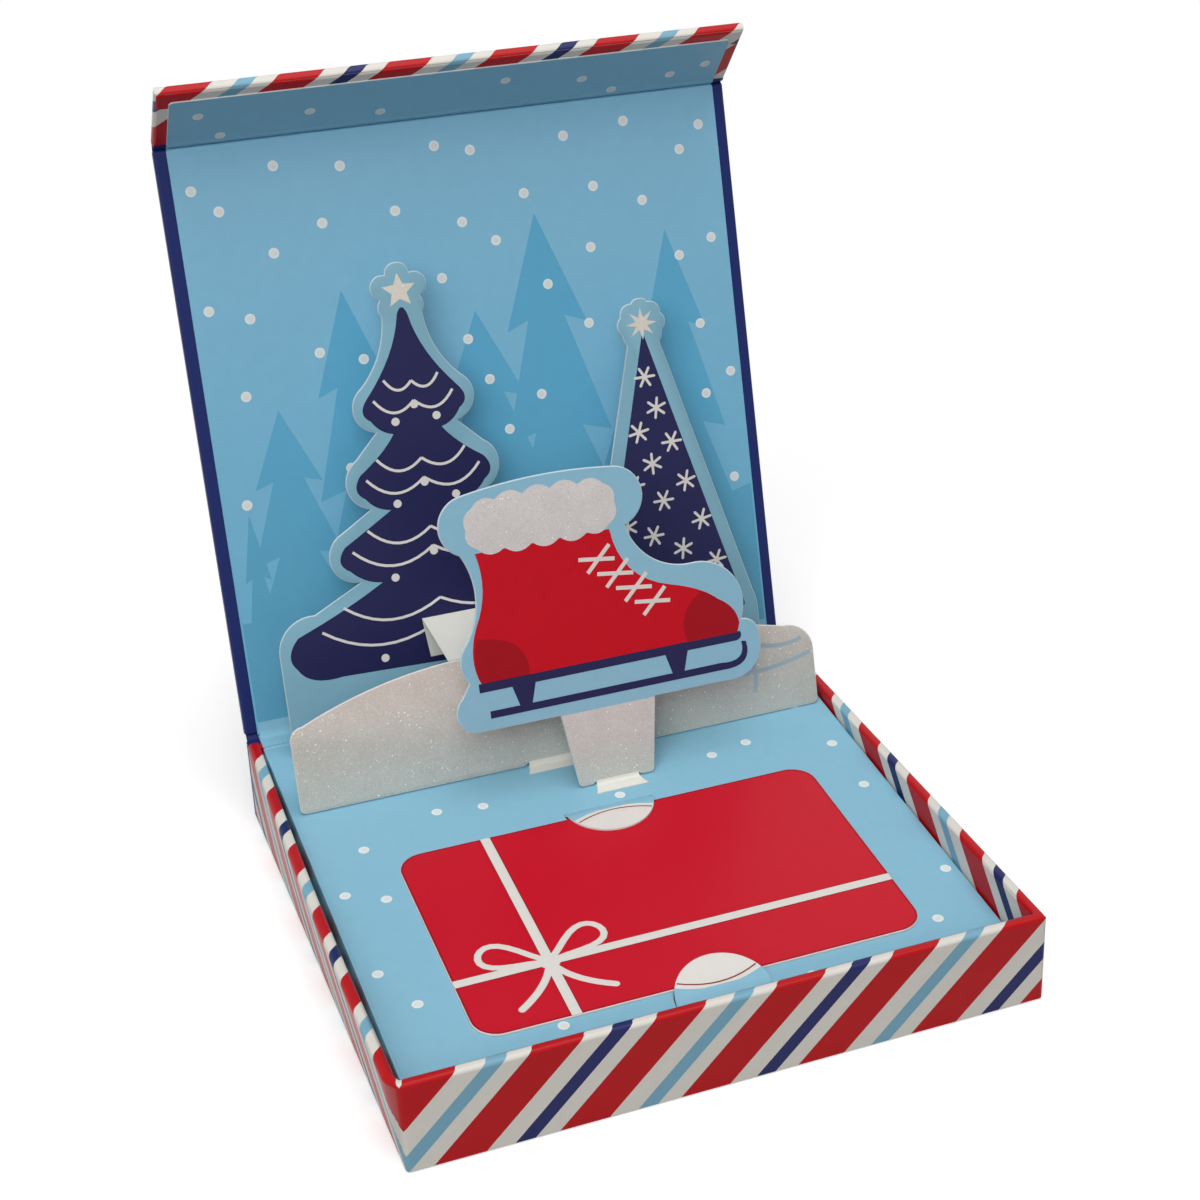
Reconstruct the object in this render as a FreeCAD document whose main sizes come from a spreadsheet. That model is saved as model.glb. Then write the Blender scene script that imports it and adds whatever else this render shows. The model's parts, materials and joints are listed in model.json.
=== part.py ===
import FreeCAD, Part
import os
import re

import Sketcher

# Pop-up gift card holder: a rigid board box with a book-style lid, a magnetic front flap,
# a sloping platform with two half-moon tabs for the card, and three pop-up layers that
# stand parallel to the lid and fold flat under it.
#
# Frame: millimetres, origin at the plan centre of the tray's underside, +Z up,
# +X to the right seen from the front, +Y towards the hinge.

doc = FreeCAD.newDocument("gift_card_holder")
sheet = doc.addObject("Spreadsheet::Sheet", "dims")

DRIVING = {
    # sheet goods
    "board_thick": 1.75,
    "spine_thick": 1.5,
    "wrap_paper": 0.25,
    "liner_paper": 0.25,
    "platform_card": 0.35,
    "popup_card": 0.35,
    "strap_paper": 0.2,
    # tray
    "tray_width": 119.0,
    "tray_depth": 119.0,
    "tray_height": 18.0,
    "base_paper_inset": 1.5,
    "turn_under": 12.0,
    "rear_wall_drop": 0.3,
    "spine_drop": 0.4,
    # lid, with its angle from shut
    "lid_open_angle": 103.4,
    "hinge_lift": 0.2,
    "bead_radius": 0.3,
    "bead_clear": 0.2,
    "lid_heel": 0.95,
    "lid_margin": 2.5,
    "lid_turn_in": 14.0,
    # flap, with its bend from the plane of the lid
    "flap_bend_angle": 55.9,
    "flap_clear": 0.3,
    "flap_foot_clear": 0.4,
    "flap_axis_depth": 0.6,
    "flap_gap": 0.7,
    "flap_margin": 2.6,
    "flap_turn_in": 6.0,
    # magnetic closure
    "magnet_radius": 4.0,
    "magnet_thick": 1.2,
    "magnet_spacing": 64.0,
    "magnet_clear": 0.05,
    # platform
    "platform_slope_angle": 4.15,
    "platform_rear_drop": 0.16,
    "platform_gap": 0.4,
    "gutter_lift": 0.05,
    # card and the half-moon tabs that hold it
    "card_width": 85.6,
    "card_depth": 54.0,
    "card_thick": 0.4,
    "card_corner": 5.0,
    "card_x": 0.9,
    "card_clear": 0.05,
    "moon_x": 2.0,
    "moon_radius": 9.2,
    "moon_ramp": 1.6,
    "moon_slit": 0.12,
    "front_moon_setback": 4.4,
    "rear_moon_setback": 2.2,
    # tree layer
    "tree_float": 0.275,
    "tree_left_gap": 5.25,
    "tree_right_gap": 5.05,
    "left_tree_height": 95.7,
    "left_tree_reach": 34.2,
    "right_tree_height": 81.4,
    "right_tree_reach": 19.4,
    "tree_tab_left": -20.0,
    "tree_tab_width": 40.0,
    "tree_tab_depth": 6.0,
    # hill layer
    "hill_float": 0.625,
    "hill_left_gap": 1.85,
    "hill_right_gap": 1.05,
    "hill_height": 24.0,
    "hill_corner": 1.2,
    "hill_tab_left": -8.4,
    "hill_tab_width": 22.0,
    "hill_tab_depth": 2.6,
    # skate layer
    "skate_float": 0.475,
    "skate_left": -24.0,
    "skate_width": 64.0,
    "skate_height": 63.5,
    "skate_tab_left": 2.1,
    "skate_tab_width": 9.3,
    "skate_tab_depth": 2.9,
    # creases, straps and glue tabs
    "foot_clear": 0.2,
    "crease_gap": 0.3,
    "tab_flare": 0.8,
    "glue_tab": 8.0,
    "glue_tab_inset": 0.8,
    "strap_clear": 0.055,
    "tree_strap_height": 20.0,
    "tree_strap_width": 14.0,
    "left_tree_strap_x": -40.0,
    "right_tree_strap_x": 26.0,
    "hill_strap_x": -21.8,
    "hill_strap_width": 15.3,
    "skate_strap_height": 17.0,
    "skate_strap_x": 1.5,
    "skate_strap_width": 10.5,
    # cutting tools run past the faces that they cut by this much
    "overrun": 1.0,
}

# The depth between the front wall and the hinge that the card leaves free is shared out:
# in front of the card, and from the card back to the crease of each layer.
CARD_FRONT_SHARE = 0.2052
SKATE_ROOM_SHARE = 0.1515
HILL_ROOM_SHARE = 0.3259
TREE_ROOM_SHARE = 0.6427

# Sizes and places that follow from the driving dimensions.
DERIVED = {
    "half_width": "(tray_width / 2)",
    "front_face": "(-tray_depth / 2)",
    "hinge_y": "(tray_depth / 2)",
    "hinge_z": "(tray_height + hinge_lift)",
    "board_side": "(half_width - wrap_paper)",
    "board_front": "(front_face + wrap_paper)",
    "inner_side": "(board_side - board_thick)",
    "inner_front": "(board_front + board_thick)",
    "spine_front": "(hinge_y - spine_thick - wrap_paper)",
    "inner_rear": "(spine_front - board_thick)",
    "well_side": "(inner_side - wrap_paper)",
    "well_front": "(inner_front + wrap_paper)",
    "well_rear": "(inner_rear - wrap_paper)",
    "board_floor": "(2 * wrap_paper)",
    "floor_top": "(board_floor + board_thick)",
    "rear_top": "(tray_height - rear_wall_drop)",
    "spine_top": "(tray_height - spine_drop)",
    "magnet_height": "(tray_height / 2)",
    "platform_side": "(well_side - platform_gap)",
    "platform_front": "(well_front + platform_gap)",
    "platform_rear": "(well_rear - platform_gap)",
    "platform_rear_z": "(rear_top - platform_rear_drop)",
    "platform_front_z":
        "(platform_rear_z - (platform_rear - platform_front) * tan(platform_slope_angle * 1deg))",
    "platform_run": "((platform_rear - platform_front) / cos(platform_slope_angle * 1deg))",
    "card_reach": "(card_depth * cos(platform_slope_angle * 1deg))",
    "free_depth": "(hinge_y - platform_front - card_reach)",
    "card_front_margin": f"({CARD_FRONT_SHARE} * free_depth / cos(platform_slope_angle * 1deg))",
    "card_rear_y": f"(platform_front + card_reach + {CARD_FRONT_SHARE} * free_depth)",
    "card_run": "(card_front_margin + card_depth / 2)",
    "front_moon_run": "(card_front_margin - front_moon_setback)",
    "rear_moon_run": "(card_front_margin + card_depth + rear_moon_setback)",
    "moon_under": "(card_thick + 2 * card_clear)",
    "moon_top": "(moon_under + platform_card)",
    "cover_thick": "(board_thick + 2 * wrap_paper)",
    "liner_start": "(bead_radius + bead_clear)",
    "lid_length": "(tray_depth + flap_clear + flap_axis_depth)",
    "lid_end": "(lid_length - flap_gap)",
    "flap_length": "(hinge_z + flap_axis_depth - flap_foot_clear)",
    "flap_magnet_run": "(hinge_z + flap_axis_depth - magnet_height)",
    "skate_room": f"({SKATE_ROOM_SHARE} * free_depth)",
    "hill_room": f"({HILL_ROOM_SHARE} * free_depth)",
    "tree_room": f"({TREE_ROOM_SHARE} * free_depth)",
    "tree_left": "(-platform_side + tree_left_gap)",
    "tree_width": "(2 * platform_side - tree_left_gap - tree_right_gap)",
    "right_tree_axis": "(tree_width - right_tree_reach)",
    "hill_left": "(-platform_side + hill_left_gap)",
    "hill_width": "(2 * platform_side - hill_left_gap - hill_right_gap)",
    "hill_foot": "(hill_lift - foot_clear)",
    "skate_foot": "(skate_lift - foot_clear)",
    "panel_face": "(popup_card / 2)",
    "panel_pivot": "(panel_face + strap_paper / 2 + strap_clear)",
    "lid_pivot": "(strap_paper / 2 + strap_clear)",
    "panel_slack": "(2 * panel_pivot)",
    "lid_slack": "(panel_pivot + lid_pivot)",
    "panel_tab_drop": "(panel_slack * tan(lid_open_angle / 2 * 1deg) + strap_paper)",
    "lid_tab_drop": "(lid_slack * tan(lid_open_angle / 2 * 1deg) + strap_paper)",
}
for layer in ("tree", "hill", "skate"):
    DERIVED[f"{layer}_y"] = f"(card_rear_y + {layer}_room)"
    DERIVED[f"{layer}_lift"] = f"(panel_face + {layer}_float)"
    DERIVED[f"{layer}_z"] = (
        f"(platform_front_z + {layer}_lift"
        f" + ({layer}_y - platform_front) * tan(platform_slope_angle * 1deg))"
    )
    DERIVED[f"{layer}_crease_run"] = (
        f"(({layer}_y - crease_gap - platform_front) / cos(platform_slope_angle * 1deg))"
    )

# Outlines as shares of a width or reach and of a height. A pair is the end of a line;
# four numbers are the end of an arc and a point that it passes through.

# One side of the tiered tree from its tip down: the lobes round its star, then three boughs.
TIERED_TREE_SHARES = [
    (0.073, 0.976, 0.051, 0.994),
    (0.120, 0.926, 0.167, 0.957),
    (0.123, 0.892, 0.139, 0.909),
    (0.304, 0.750, 0.181, 0.810),
    (0.246, 0.654, 0.368, 0.708),
    (0.386, 0.604),
    (0.339, 0.495, 0.468, 0.556),
    (0.526, 0.456),
    (0.456, 0.345, 0.626, 0.410),
]
TIERED_OUTER_FOOT_SHARES = [(0.760, 0.293), (1.000, 0.219, 0.936, 0.272)]
TIERED_INNER_FOOT_SHARES = [(0.716, 0.287)]
VALLEY_SHARE = 0.270
# One side of the pointed tree: the lobes round its star, then a straight slope.
POINTED_TREE_SHARES = [
    (0.094, 0.989, 0.054, 0.998),
    (0.227, 0.957, 0.194, 0.981),
    (0.227, 0.912, 0.274, 0.935),
    (0.186, 0.883, 0.214, 0.896),
]
POINTED_OUTER_FOOT_SHARES = [(0.959, 0.192), (1.000, 0.135, 0.991, 0.165)]
POINTED_INNER_FOOT_SHARES = [(0.808, 0.338)]
# The hill's right end up to its crown, and from the crown down to its left end.
HILL_RIGHT_SHARES = [(1.000, 0.467), (0.944, 0.725, 0.986, 0.642)]
HILL_CROWN_SHARES = (0.704, 0.925)
HILL_LEFT_SHARES = [(0.024, 0.708, 0.144, 0.892), (0.000, 0.575, 0.005, 0.663)]
# The skate boot from the right of its stem round to the left: sole, toe, instep, cuff,
# ankle and heel.
SKATE_SHARES = [
    (0.634, 0.236),
    (0.875, 0.236),
    (1.000, 0.370, 0.978, 0.271),
    (0.947, 0.428, 0.983, 0.414),
    (0.805, 0.639, 0.938, 0.567),
    (0.600, 0.797, 0.664, 0.687),
    (0.588, 0.986, 0.666, 0.898),
    (0.097, 0.976, 0.342, 1.000),
    (0.072, 0.794, 0.016, 0.882),
    (0.056, 0.520, 0.103, 0.654),
    (0.050, 0.397, 0.030, 0.457),
    (0.022, 0.353),
    (0.056, 0.236, 0.000, 0.290),
    (0.322, 0.236),
]
STEM_FOOT_SHARES = (0.356, 0.603)
# How far the hollow end of a tab stands out at mid-depth, as a share of its flare.
HOLLOW_SHARE = 0.25
ROUND_SHARE = 1 - 0.5 ** 0.5


def fill_sheet():
    for row, (name, value) in enumerate(DRIVING.items(), start=1):
        sheet.set(f"A{row}", name)
        sheet.set(f"B{row}", str(value))
        sheet.setAlias(f"B{row}", name)
    doc.recompute()


def expand(text):
    """Write derived names out in driving dimensions, and those as cells of the sheet."""
    text, shorter = str(text), None
    while text != shorter:
        shorter = text
        text = re.sub(r"[a-z_]+", lambda word: DERIVED.get(word.group(), word.group()), text)
    return re.sub(
        r"[a-z_]+",
        lambda word: f"dims.{word.group()}" if word.group() in DRIVING else word.group(),
        text,
    )


def value_of(text):
    return float(sheet.evalExpression(expand(text)))


def bind(thing, name, text):
    thing.setExpression(name, expand(text))


# A frame is a sheet that may lean about the X axis: its origin in Y and Z, and the angle
# from +Y up to the way that it runs. Places in it are across, along and out of its face.
TRAY = ("0", "0", "0")
FRONT_WALL = ("front_face", "0", "90")
PLATFORM = ("platform_front", "platform_front_z", "platform_slope_angle")
LID = ("hinge_y", "hinge_z", "(180 - lid_open_angle)")
TREE = ("tree_y", "tree_z", "(180 - lid_open_angle)")
HILL = ("hill_y", "hill_z", "(180 - lid_open_angle)")
SKATE = ("skate_y", "skate_z", "(180 - lid_open_angle)")


def point_in(frame, along, out):
    """World Y and Z of a place in a frame."""
    y, z, angle = frame
    cosine, sine = f"cos({angle} * 1deg)", f"sin({angle} * 1deg)"
    return (
        f"({y} + ({along}) * {cosine} - ({out}) * {sine})",
        f"({z} + ({along}) * {sine} + ({out}) * {cosine})",
    )


FLAP = (*point_in(LID, "lid_length", "-flap_axis_depth"), "(180 - lid_open_angle + flap_bend_angle)")


def seat(thing, frame, across, along, out):
    """Put a piece's own origin at a place in a frame, turned with the frame."""
    turn(thing, "1", "0", frame[2])
    y, z = point_in(frame, along, out)
    for axis, text in zip("xyz", (across, y, z)):
        bind(thing, f"Placement.Base.{axis}", text)


def turn(thing, about_x, about_y, angle):
    bind(thing, "Placement.Rotation.Axis.x", about_x)
    bind(thing, "Placement.Rotation.Axis.y", about_y)
    bind(thing, "Placement.Rotation.Axis.z", "0")
    bind(thing, "Placement.Rotation.Angle", angle)


def block(label, frame, across, along, out):
    """A cuboid between two places on each axis of its frame."""
    box = doc.addObject("Part::Box", label)
    for name, (low, high) in (("Length", across), ("Width", along), ("Height", out)):
        bind(box, name, f"({high}) - ({low})")
    seat(box, frame, across[0], along[0], out[0])
    return box


def both_sides(half):
    return f"-({half})", half


def disc(label, frame, radius, thick, across, along, out):
    cylinder = doc.addObject("Part::Cylinder", label)
    bind(cylinder, "Radius", radius)
    bind(cylinder, "Height", thick)
    seat(cylinder, frame, across, along, out)
    return cylinder


def cut(label, base, *tools):
    tool = tools[0] if len(tools) == 1 else join(f"{label}_tools", *tools)
    result = doc.addObject("Part::Cut", label)
    result.Base = base
    result.Tool = tool
    return result


def join(label, *pieces):
    fused = doc.addObject("Part::MultiFuse", label)
    fused.Shapes = list(pieces)
    return fused


def group(label, *pieces):
    """Like pieces that lie apart, kept as separate solids of one node."""
    compound = doc.addObject("Part::Compound", label)
    compound.Links = list(pieces)
    return compound


def draw_loop(sketch, steps):
    """Draw a closed outline whose every corner is held by the sheet.

    A step is the end of a line, (x, y), or of an arc, (x, y, through_x, through_y).
    """

    def spot(x_text, y_text):
        return FreeCAD.Vector(value_of(x_text), value_of(y_text), 0)

    ends = [spot(*step[:2]) for step in steps]
    edges = []
    for number, step in enumerate(steps):
        first, last = ends[number - 1], ends[number]
        if len(step) == 2:
            edges.append((sketch.addGeometry(Part.LineSegment(first, last)), 1, 2))
            continue
        through = spot(*step[2:])
        if (through - first).cross(last - through).z > 0:
            edges.append((sketch.addGeometry(Part.Arc(first, through, last)), 1, 2))
        else:
            edges.append((sketch.addGeometry(Part.Arc(last, through, first)), 2, 1))

    def hold(geometry, point, x_text, y_text):
        for axis, text in (("X", x_text), ("Y", y_text)):
            rule = Sketcher.Constraint(f"Distance{axis}", geometry, point, value_of(text))
            number = sketch.addConstraint(rule)
            bind(sketch, f"Constraints[{number}]", text)

    for number, (edge, _, end) in enumerate(edges):
        after, after_start, _ = edges[(number + 1) % len(edges)]
        sketch.addConstraint(Sketcher.Constraint("Coincident", edge, end, after, after_start))
        hold(edge, end, *steps[number][:2])
        if len(steps[number]) == 4:
            through = sketch.addGeometry(Part.Point(spot(*steps[number][2:])), True)
            sketch.addConstraint(Sketcher.Constraint("PointOnObject", through, 1, edge))
            hold(through, 1, *steps[number][2:])


def profile_body(label, plane, thick, *loops):
    """A body padded from closed outlines on one of its origin planes."""
    body = doc.addObject("PartDesign::Body", label)
    sketch = body.newObject("Sketcher::SketchObject", f"{label}_outline")
    support = [item for item in body.Origin.OriginFeatures if item.Role == plane][0]
    sketch.AttachmentSupport = [(support, "")]
    sketch.MapMode = "FlatFace"
    for loop in loops:
        draw_loop(sketch, loop)
    pad = body.newObject("PartDesign::Pad", f"{label}_pad")
    pad.Profile = sketch
    bind(pad, "Length", thick)
    return body


def die_cut(label, frame, thick, across, along, out, *loops):
    """A flat die-cut sheet that lies in a frame."""
    body = profile_body(label, "XY_Plane", thick, *loops)
    seat(body, frame, across, along, out)
    return body


def scaled(shares, wide, tall, start="0"):
    """Turn shares of a width and a height into the steps of an outline."""
    return [
        tuple(
            f"{start} + {share} * {wide}" if place % 2 == 0 else f"{share} * {tall}"
            for place, share in enumerate(step)
        )
        for step in shares
    ]


def magnet_discs(label, frame, radius, along, out, thick):
    """A left and a right disc, set into a board."""
    return [
        disc(f"{side}_{label}", frame, radius, thick, f"{sign} * magnet_spacing / 2", along, out)
        for side, sign in (("left", -1), ("right", 1))
    ]


def make_tray():
    """Five boards, the wrap that covers them, and the paper under the base."""
    tall = ("board_floor", "tray_height - wrap_paper")
    behind_front = ("inner_front", "spine_front")
    floor = ("inner_front", "inner_rear")
    base = block("base_board", TRAY, both_sides("inner_side"), floor, ("board_floor", "floor_top"))
    left = block("left_wall_board", TRAY, ("-board_side", "-inner_side"), behind_front, tall)
    right = block("right_wall_board", TRAY, ("inner_side", "board_side"), behind_front, tall)
    rear = block(
        "rear_wall_board", TRAY, both_sides("inner_side"), ("inner_rear", "spine_front"),
        ("board_floor", "rear_top - wrap_paper"),
    )
    front_blank = block(
        "front_wall_blank", TRAY, both_sides("board_side"), ("board_front", "inner_front"), tall
    )
    seat_depth = "-wrap_paper - magnet_thick"
    sockets = magnet_discs(
        "front_socket", FRONT_WALL, "magnet_radius + magnet_clear", "magnet_height",
        seat_depth, "magnet_thick + overrun",
    )
    front = cut("front_wall_board", front_blank, *sockets)
    discs = magnet_discs(
        "front_magnet", FRONT_WALL, "magnet_radius", "magnet_height", seat_depth, "magnet_thick"
    )
    magnets = group("front_magnets", *discs)

    # the wrap goes up the walls, over the rim and down inside, and turns under the base
    skin = block(
        "wrap_skin", TRAY, both_sides("half_width"), ("front_face", "spine_front"),
        ("wrap_paper", "tray_height"),
    )
    well = block(
        "wrap_well", TRAY, both_sides("well_side"), ("well_front", "well_rear"),
        ("floor_top", "tray_height + overrun"),
    )
    rear_step = block(
        "rear_step", TRAY, both_sides("well_side"), ("well_rear", "spine_front + overrun"),
        ("rear_top", "tray_height + overrun"),
    )
    window = block(
        "turn_under_window", TRAY, both_sides("half_width - turn_under"),
        ("front_face + turn_under", "spine_front - turn_under"), ("0", "board_floor"),
    )
    wrap = cut(
        "tray_wrap", skin, well, rear_step, window, base, left, right, rear, front_blank
    )
    paper = block(
        "base_paper", TRAY, both_sides("half_width - base_paper_inset"),
        ("front_face + base_paper_inset", "spine_front - base_paper_inset"), ("0", "wrap_paper"),
    )
    return [base, left, right, rear, front, magnets, wrap, paper]


def make_spine():
    """The back strip of the cover, glued to the rear wall."""
    board = block(
        "spine_board", TRAY, both_sides("board_side"), ("spine_front", "spine_front + spine_thick"),
        ("board_floor", "spine_top - wrap_paper"),
    )
    skin = block(
        "spine_skin", TRAY, both_sides("half_width"), ("spine_front", "hinge_y"),
        ("wrap_paper", "spine_top"),
    )
    return [board, cut("spine_wrap", skin, board)]


def moon_hole(root, way):
    """The half-round hole that a tab leaves in the platform."""
    return [
        ("moon_x + moon_radius", root),
        ("moon_x - moon_radius", root, "moon_x", f"{root} + {way} * moon_radius"),
    ]


def make_platform():
    """A folded sheet on legs, with two half-moon tabs lifted out of it."""
    edge = [
        ("-platform_side", "0"),
        ("platform_side", "0"),
        ("platform_side", "platform_run"),
        ("-platform_side", "platform_run"),
    ]
    moons = (("front_card_tab", "front_moon_run", 1), ("rear_card_tab", "rear_moon_run", -1))
    holes = [moon_hole(root, way) for _, root, way in moons]
    top = die_cut(
        "platform_sheet", PLATFORM, "platform_card", "0", "0", "-platform_card", edge, *holes
    )
    legs = block(
        "leg_block", TRAY, both_sides("platform_side"), ("platform_front", "platform_rear"),
        ("floor_top", "tray_height"),
    )
    hollow = block(
        "leg_hollow", TRAY, both_sides("platform_side - platform_card"),
        ("platform_front + platform_card", "platform_rear - platform_card"),
        ("floor_top - overrun", "tray_height + overrun"),
    )
    above = block(
        "leg_trim", PLATFORM, both_sides("platform_side + overrun"),
        ("-overrun", "platform_run + overrun"), ("-platform_card", "tray_height"),
    )
    sheet_on_legs = join("platform", top, cut("platform_legs", legs, hollow, above))
    return [sheet_on_legs] + [make_moon(*moon) for moon in moons]


def make_moon(label, root, way):
    """A half-moon of the sheet that ramps up from its root and lies over the card."""
    foot, head = f"{way} * moon_slit", f"{way} * moon_ramp"
    tip = f"{way} * (moon_radius + overrun)"
    section = [
        (foot, "-platform_card"),
        (head, "moon_under"),
        (tip, "moon_under"),
        (tip, "moon_top"),
        (head, "moon_top"),
        (foot, "0"),
    ]
    strip = profile_body(f"{label}_strip", "YZ_Plane", "2 * moon_radius", section)
    seat(strip, PLATFORM, "moon_x - moon_radius", root, "0")
    moon = disc(
        f"{label}_moon", PLATFORM, "moon_radius - moon_slit",
        "moon_top + platform_card + 2 * overrun", "moon_x", root, "-platform_card - overrun",
    )
    tab = doc.addObject("Part::Common", label)
    tab.Base = strip
    tab.Tool = moon
    return tab


def make_card():
    """The card, with rounded corners, lying on the platform under both tabs."""
    wide, deep, bite = "card_width / 2", "card_depth / 2", f"{ROUND_SHARE} * card_corner"
    steps = []
    for right, back in ((1, -1), (1, 1), (-1, 1), (-1, -1)):
        on_end = (f"{right} * ({wide} - card_corner)", f"{back} * {deep}")
        on_side = (f"{right} * {wide}", f"{back} * ({deep} - card_corner)")
        through = (f"{right} * ({wide} - {bite})", f"{back} * ({deep} - {bite})")
        first, last = (on_end, on_side) if right != back else (on_side, on_end)
        steps += [first, last + through]
    return [die_cut("gift_card", PLATFORM, "card_thick", "card_x", "card_run", "card_clear", steps)]


def make_gutter():
    """The strip of the printed sheet over the rear wall, with a bead along the hinge axis."""
    level = "rear_top + gutter_lift"
    strip = block(
        "gutter_strip", TRAY, both_sides("platform_side"), ("platform_rear", "hinge_y"),
        (level, f"{level} + liner_paper"),
    )
    bead = doc.addObject("Part::Cylinder", "gutter_bead")
    bind(bead, "Radius", "bead_radius")
    bind(bead, "Height", "2 * platform_side")
    turn(bead, "0", "1", "90")
    for axis, text in zip("xyz", ("-platform_side", "hinge_y", "hinge_z")):
        bind(bead, f"Placement.Base.{axis}", text)
    return [join("hinge_gutter", strip, bead)]


def make_cover(name, frame, start, end, face, liner_ends, margin, turn_in, board_label):
    """Board, wrap and liner of a cover panel whose inner face lies at a height in its frame."""
    back = f"({face} - liner_paper - cover_thick)"
    front = f"({face} - liner_paper)"
    board = block(
        board_label, frame, both_sides("board_side"), (f"{start} + wrap_paper", f"{end} - wrap_paper"),
        (f"{back} + wrap_paper", f"{front} - wrap_paper"),
    )
    skin = block(f"{name}_skin", frame, both_sides("half_width"), (start, end), (back, front))
    window = block(
        f"{name}_window", frame, both_sides(f"half_width - {turn_in}"),
        (f"{start} + {turn_in}", f"{end} - {turn_in}"), (f"({back} + {front}) / 2", front),
    )
    wrap = cut(f"{name}_wrap", skin, board, window)
    liner = block(
        f"{name}_liner", frame, both_sides(f"half_width - {margin}"), liner_ends, (front, face)
    )
    return [board, wrap, liner]


def make_lid():
    return make_cover(
        "lid", LID, "lid_heel", "lid_end", "0", ("liner_start", "lid_end"),
        "lid_margin", "lid_turn_in", "lid_board",
    )


def make_flap():
    """The flap's cover pieces, with magnets let into the board behind its liner."""
    blank, wrap, liner = make_cover(
        "flap", FLAP, "flap_gap", "flap_length", "flap_axis_depth",
        ("flap_gap", "flap_length - flap_margin"), "flap_margin", "flap_turn_in", "flap_blank",
    )
    seat_depth = "flap_axis_depth - liner_paper - wrap_paper - magnet_thick"
    sockets = magnet_discs(
        "flap_socket", FLAP, "magnet_radius + magnet_clear", "flap_magnet_run",
        seat_depth, "magnet_thick + overrun",
    )
    discs = magnet_discs(
        "flap_magnet", FLAP, "magnet_radius", "flap_magnet_run", seat_depth, "magnet_thick"
    )
    return [cut("flap_board", blank, *sockets), wrap, liner, group("flap_magnets", *discs)]


def tree_side(shares, axis, reach, height, side):
    """Steps from the tip of a tree down one side of it."""
    return scaled(shares, f"({side} * {reach})", height, axis)


def climb(steps, tip):
    """The same side of a tree walked from its foot up to the tip."""
    ends = [tip] + [step[:2] for step in steps]
    return [ends[number] + steps[number][2:] for number in reversed(range(len(steps)))]


def make_tree():
    """Two trees cut from one sheet, with the glue tabs of the straps that end on it."""
    tiered = ("left_tree_reach", "left_tree_reach", "left_tree_height")
    pointed = ("right_tree_axis", "right_tree_reach", "right_tree_height")
    outer_right = tree_side(POINTED_TREE_SHARES + POINTED_OUTER_FOOT_SHARES, *pointed, 1)
    inner_right = tree_side(POINTED_TREE_SHARES + POINTED_INNER_FOOT_SHARES, *pointed, -1)
    inner_left = tree_side(TIERED_TREE_SHARES + TIERED_INNER_FOOT_SHARES, *tiered, 1)
    outer_left = tree_side(TIERED_TREE_SHARES + TIERED_OUTER_FOOT_SHARES, *tiered, -1)
    valley_x = f"({inner_right[-1][0]} + {inner_left[-1][0]}) / 2"
    outline = [("0", "0"), ("tree_width", "0"), outer_right[-1][:2]]
    outline += climb(outer_right, ("right_tree_axis", "right_tree_height"))
    outline += inner_right
    outline += [inner_left[-1] + (valley_x, f"{VALLEY_SHARE} * left_tree_height")]
    outline += climb(inner_left, ("left_tree_reach", "left_tree_height"))
    outline += outer_left
    panel = die_cut("tree_panel", TREE, "popup_card", "tree_left", "0", "-panel_face", outline)
    tabs = group("tree_strap_tabs", *[
        glue_tab(f"{side}_tree_tab", TREE, x, "tree_strap_width",
                 "tree_strap_height + strap_paper", 1, "-panel_face - strap_paper")
        for side, x in TREE_STRAPS
    ])
    hill_end = glue_tab("hill_strap_tab", TREE, "hill_strap_x", "hill_strap_width",
                        "hill_height - panel_tab_drop", -1, "panel_face")
    return [panel, tabs, hill_end]


def make_hill():
    """The snow hill, low and wide, with a flat crest where its strap folds back."""
    foot = "-hill_foot"
    bite = f"{ROUND_SHARE} * hill_corner"
    notch = "(hill_tab_left - hill_left)"
    crest = "(hill_strap_x - hill_left)"
    crown_x, crown_y = scaled([HILL_CROWN_SHARES], "hill_width", "hill_height")[0]
    outline = [
        ("hill_corner", foot, bite, f"{foot} + {bite}"),
        (f"{notch} - tab_flare", foot),
        (notch, "0"),
        (f"{notch} + hill_tab_width", "0"),
        (f"{notch} + hill_tab_width + tab_flare", foot),
        ("hill_width - hill_corner", foot),
        ("hill_width", f"{foot} + hill_corner", f"hill_width - {bite}", f"{foot} + {bite}"),
    ]
    outline += scaled(HILL_RIGHT_SHARES, "hill_width", "hill_height")
    outline += [(f"{crest} + hill_strap_width", "hill_height", crown_x, crown_y)]
    outline += [(crest, "hill_height")]
    outline += scaled(HILL_LEFT_SHARES, "hill_width", "hill_height")
    outline += [("0", f"{foot} + hill_corner")]
    panel = die_cut("snow_hill", HILL, "popup_card", "hill_left", "0", "-panel_face", outline)
    skate_end = glue_tab("skate_strap_rear_tab", HILL, "skate_strap_x", "skate_strap_width",
                         "skate_strap_height - panel_tab_drop", -1, "panel_face")
    return [panel, skate_end]


def make_skate():
    """The skate boot on its stem of snow."""
    foot = "-skate_foot"
    notch = "(skate_tab_left - skate_left)"
    notch_end = f"({notch} + skate_tab_width)"
    hollow = f"{HOLLOW_SHARE} * tab_flare"
    stem_left, stem_right = (f"{share} * skate_width" for share in STEM_FOOT_SHARES)
    outline = [
        (stem_left, foot),
        (f"{notch} - tab_flare", foot),
        (notch, "0", f"{notch} - {hollow}", f"{foot} / 2"),
        (notch_end, "0"),
        (f"{notch_end} + tab_flare", foot, f"{notch_end} + {hollow}", f"{foot} / 2"),
        (stem_right, foot),
    ]
    outline += scaled(SKATE_SHARES, "skate_width", "skate_height")
    panel = die_cut("skate_panel", SKATE, "popup_card", "skate_left", "0", "-panel_face", outline)
    tab = glue_tab("skate_strap_front_tab", SKATE, "skate_strap_x", "skate_strap_width",
                   "skate_strap_height + strap_paper", 1, "-panel_face - strap_paper")
    return [panel, tab]


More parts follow.
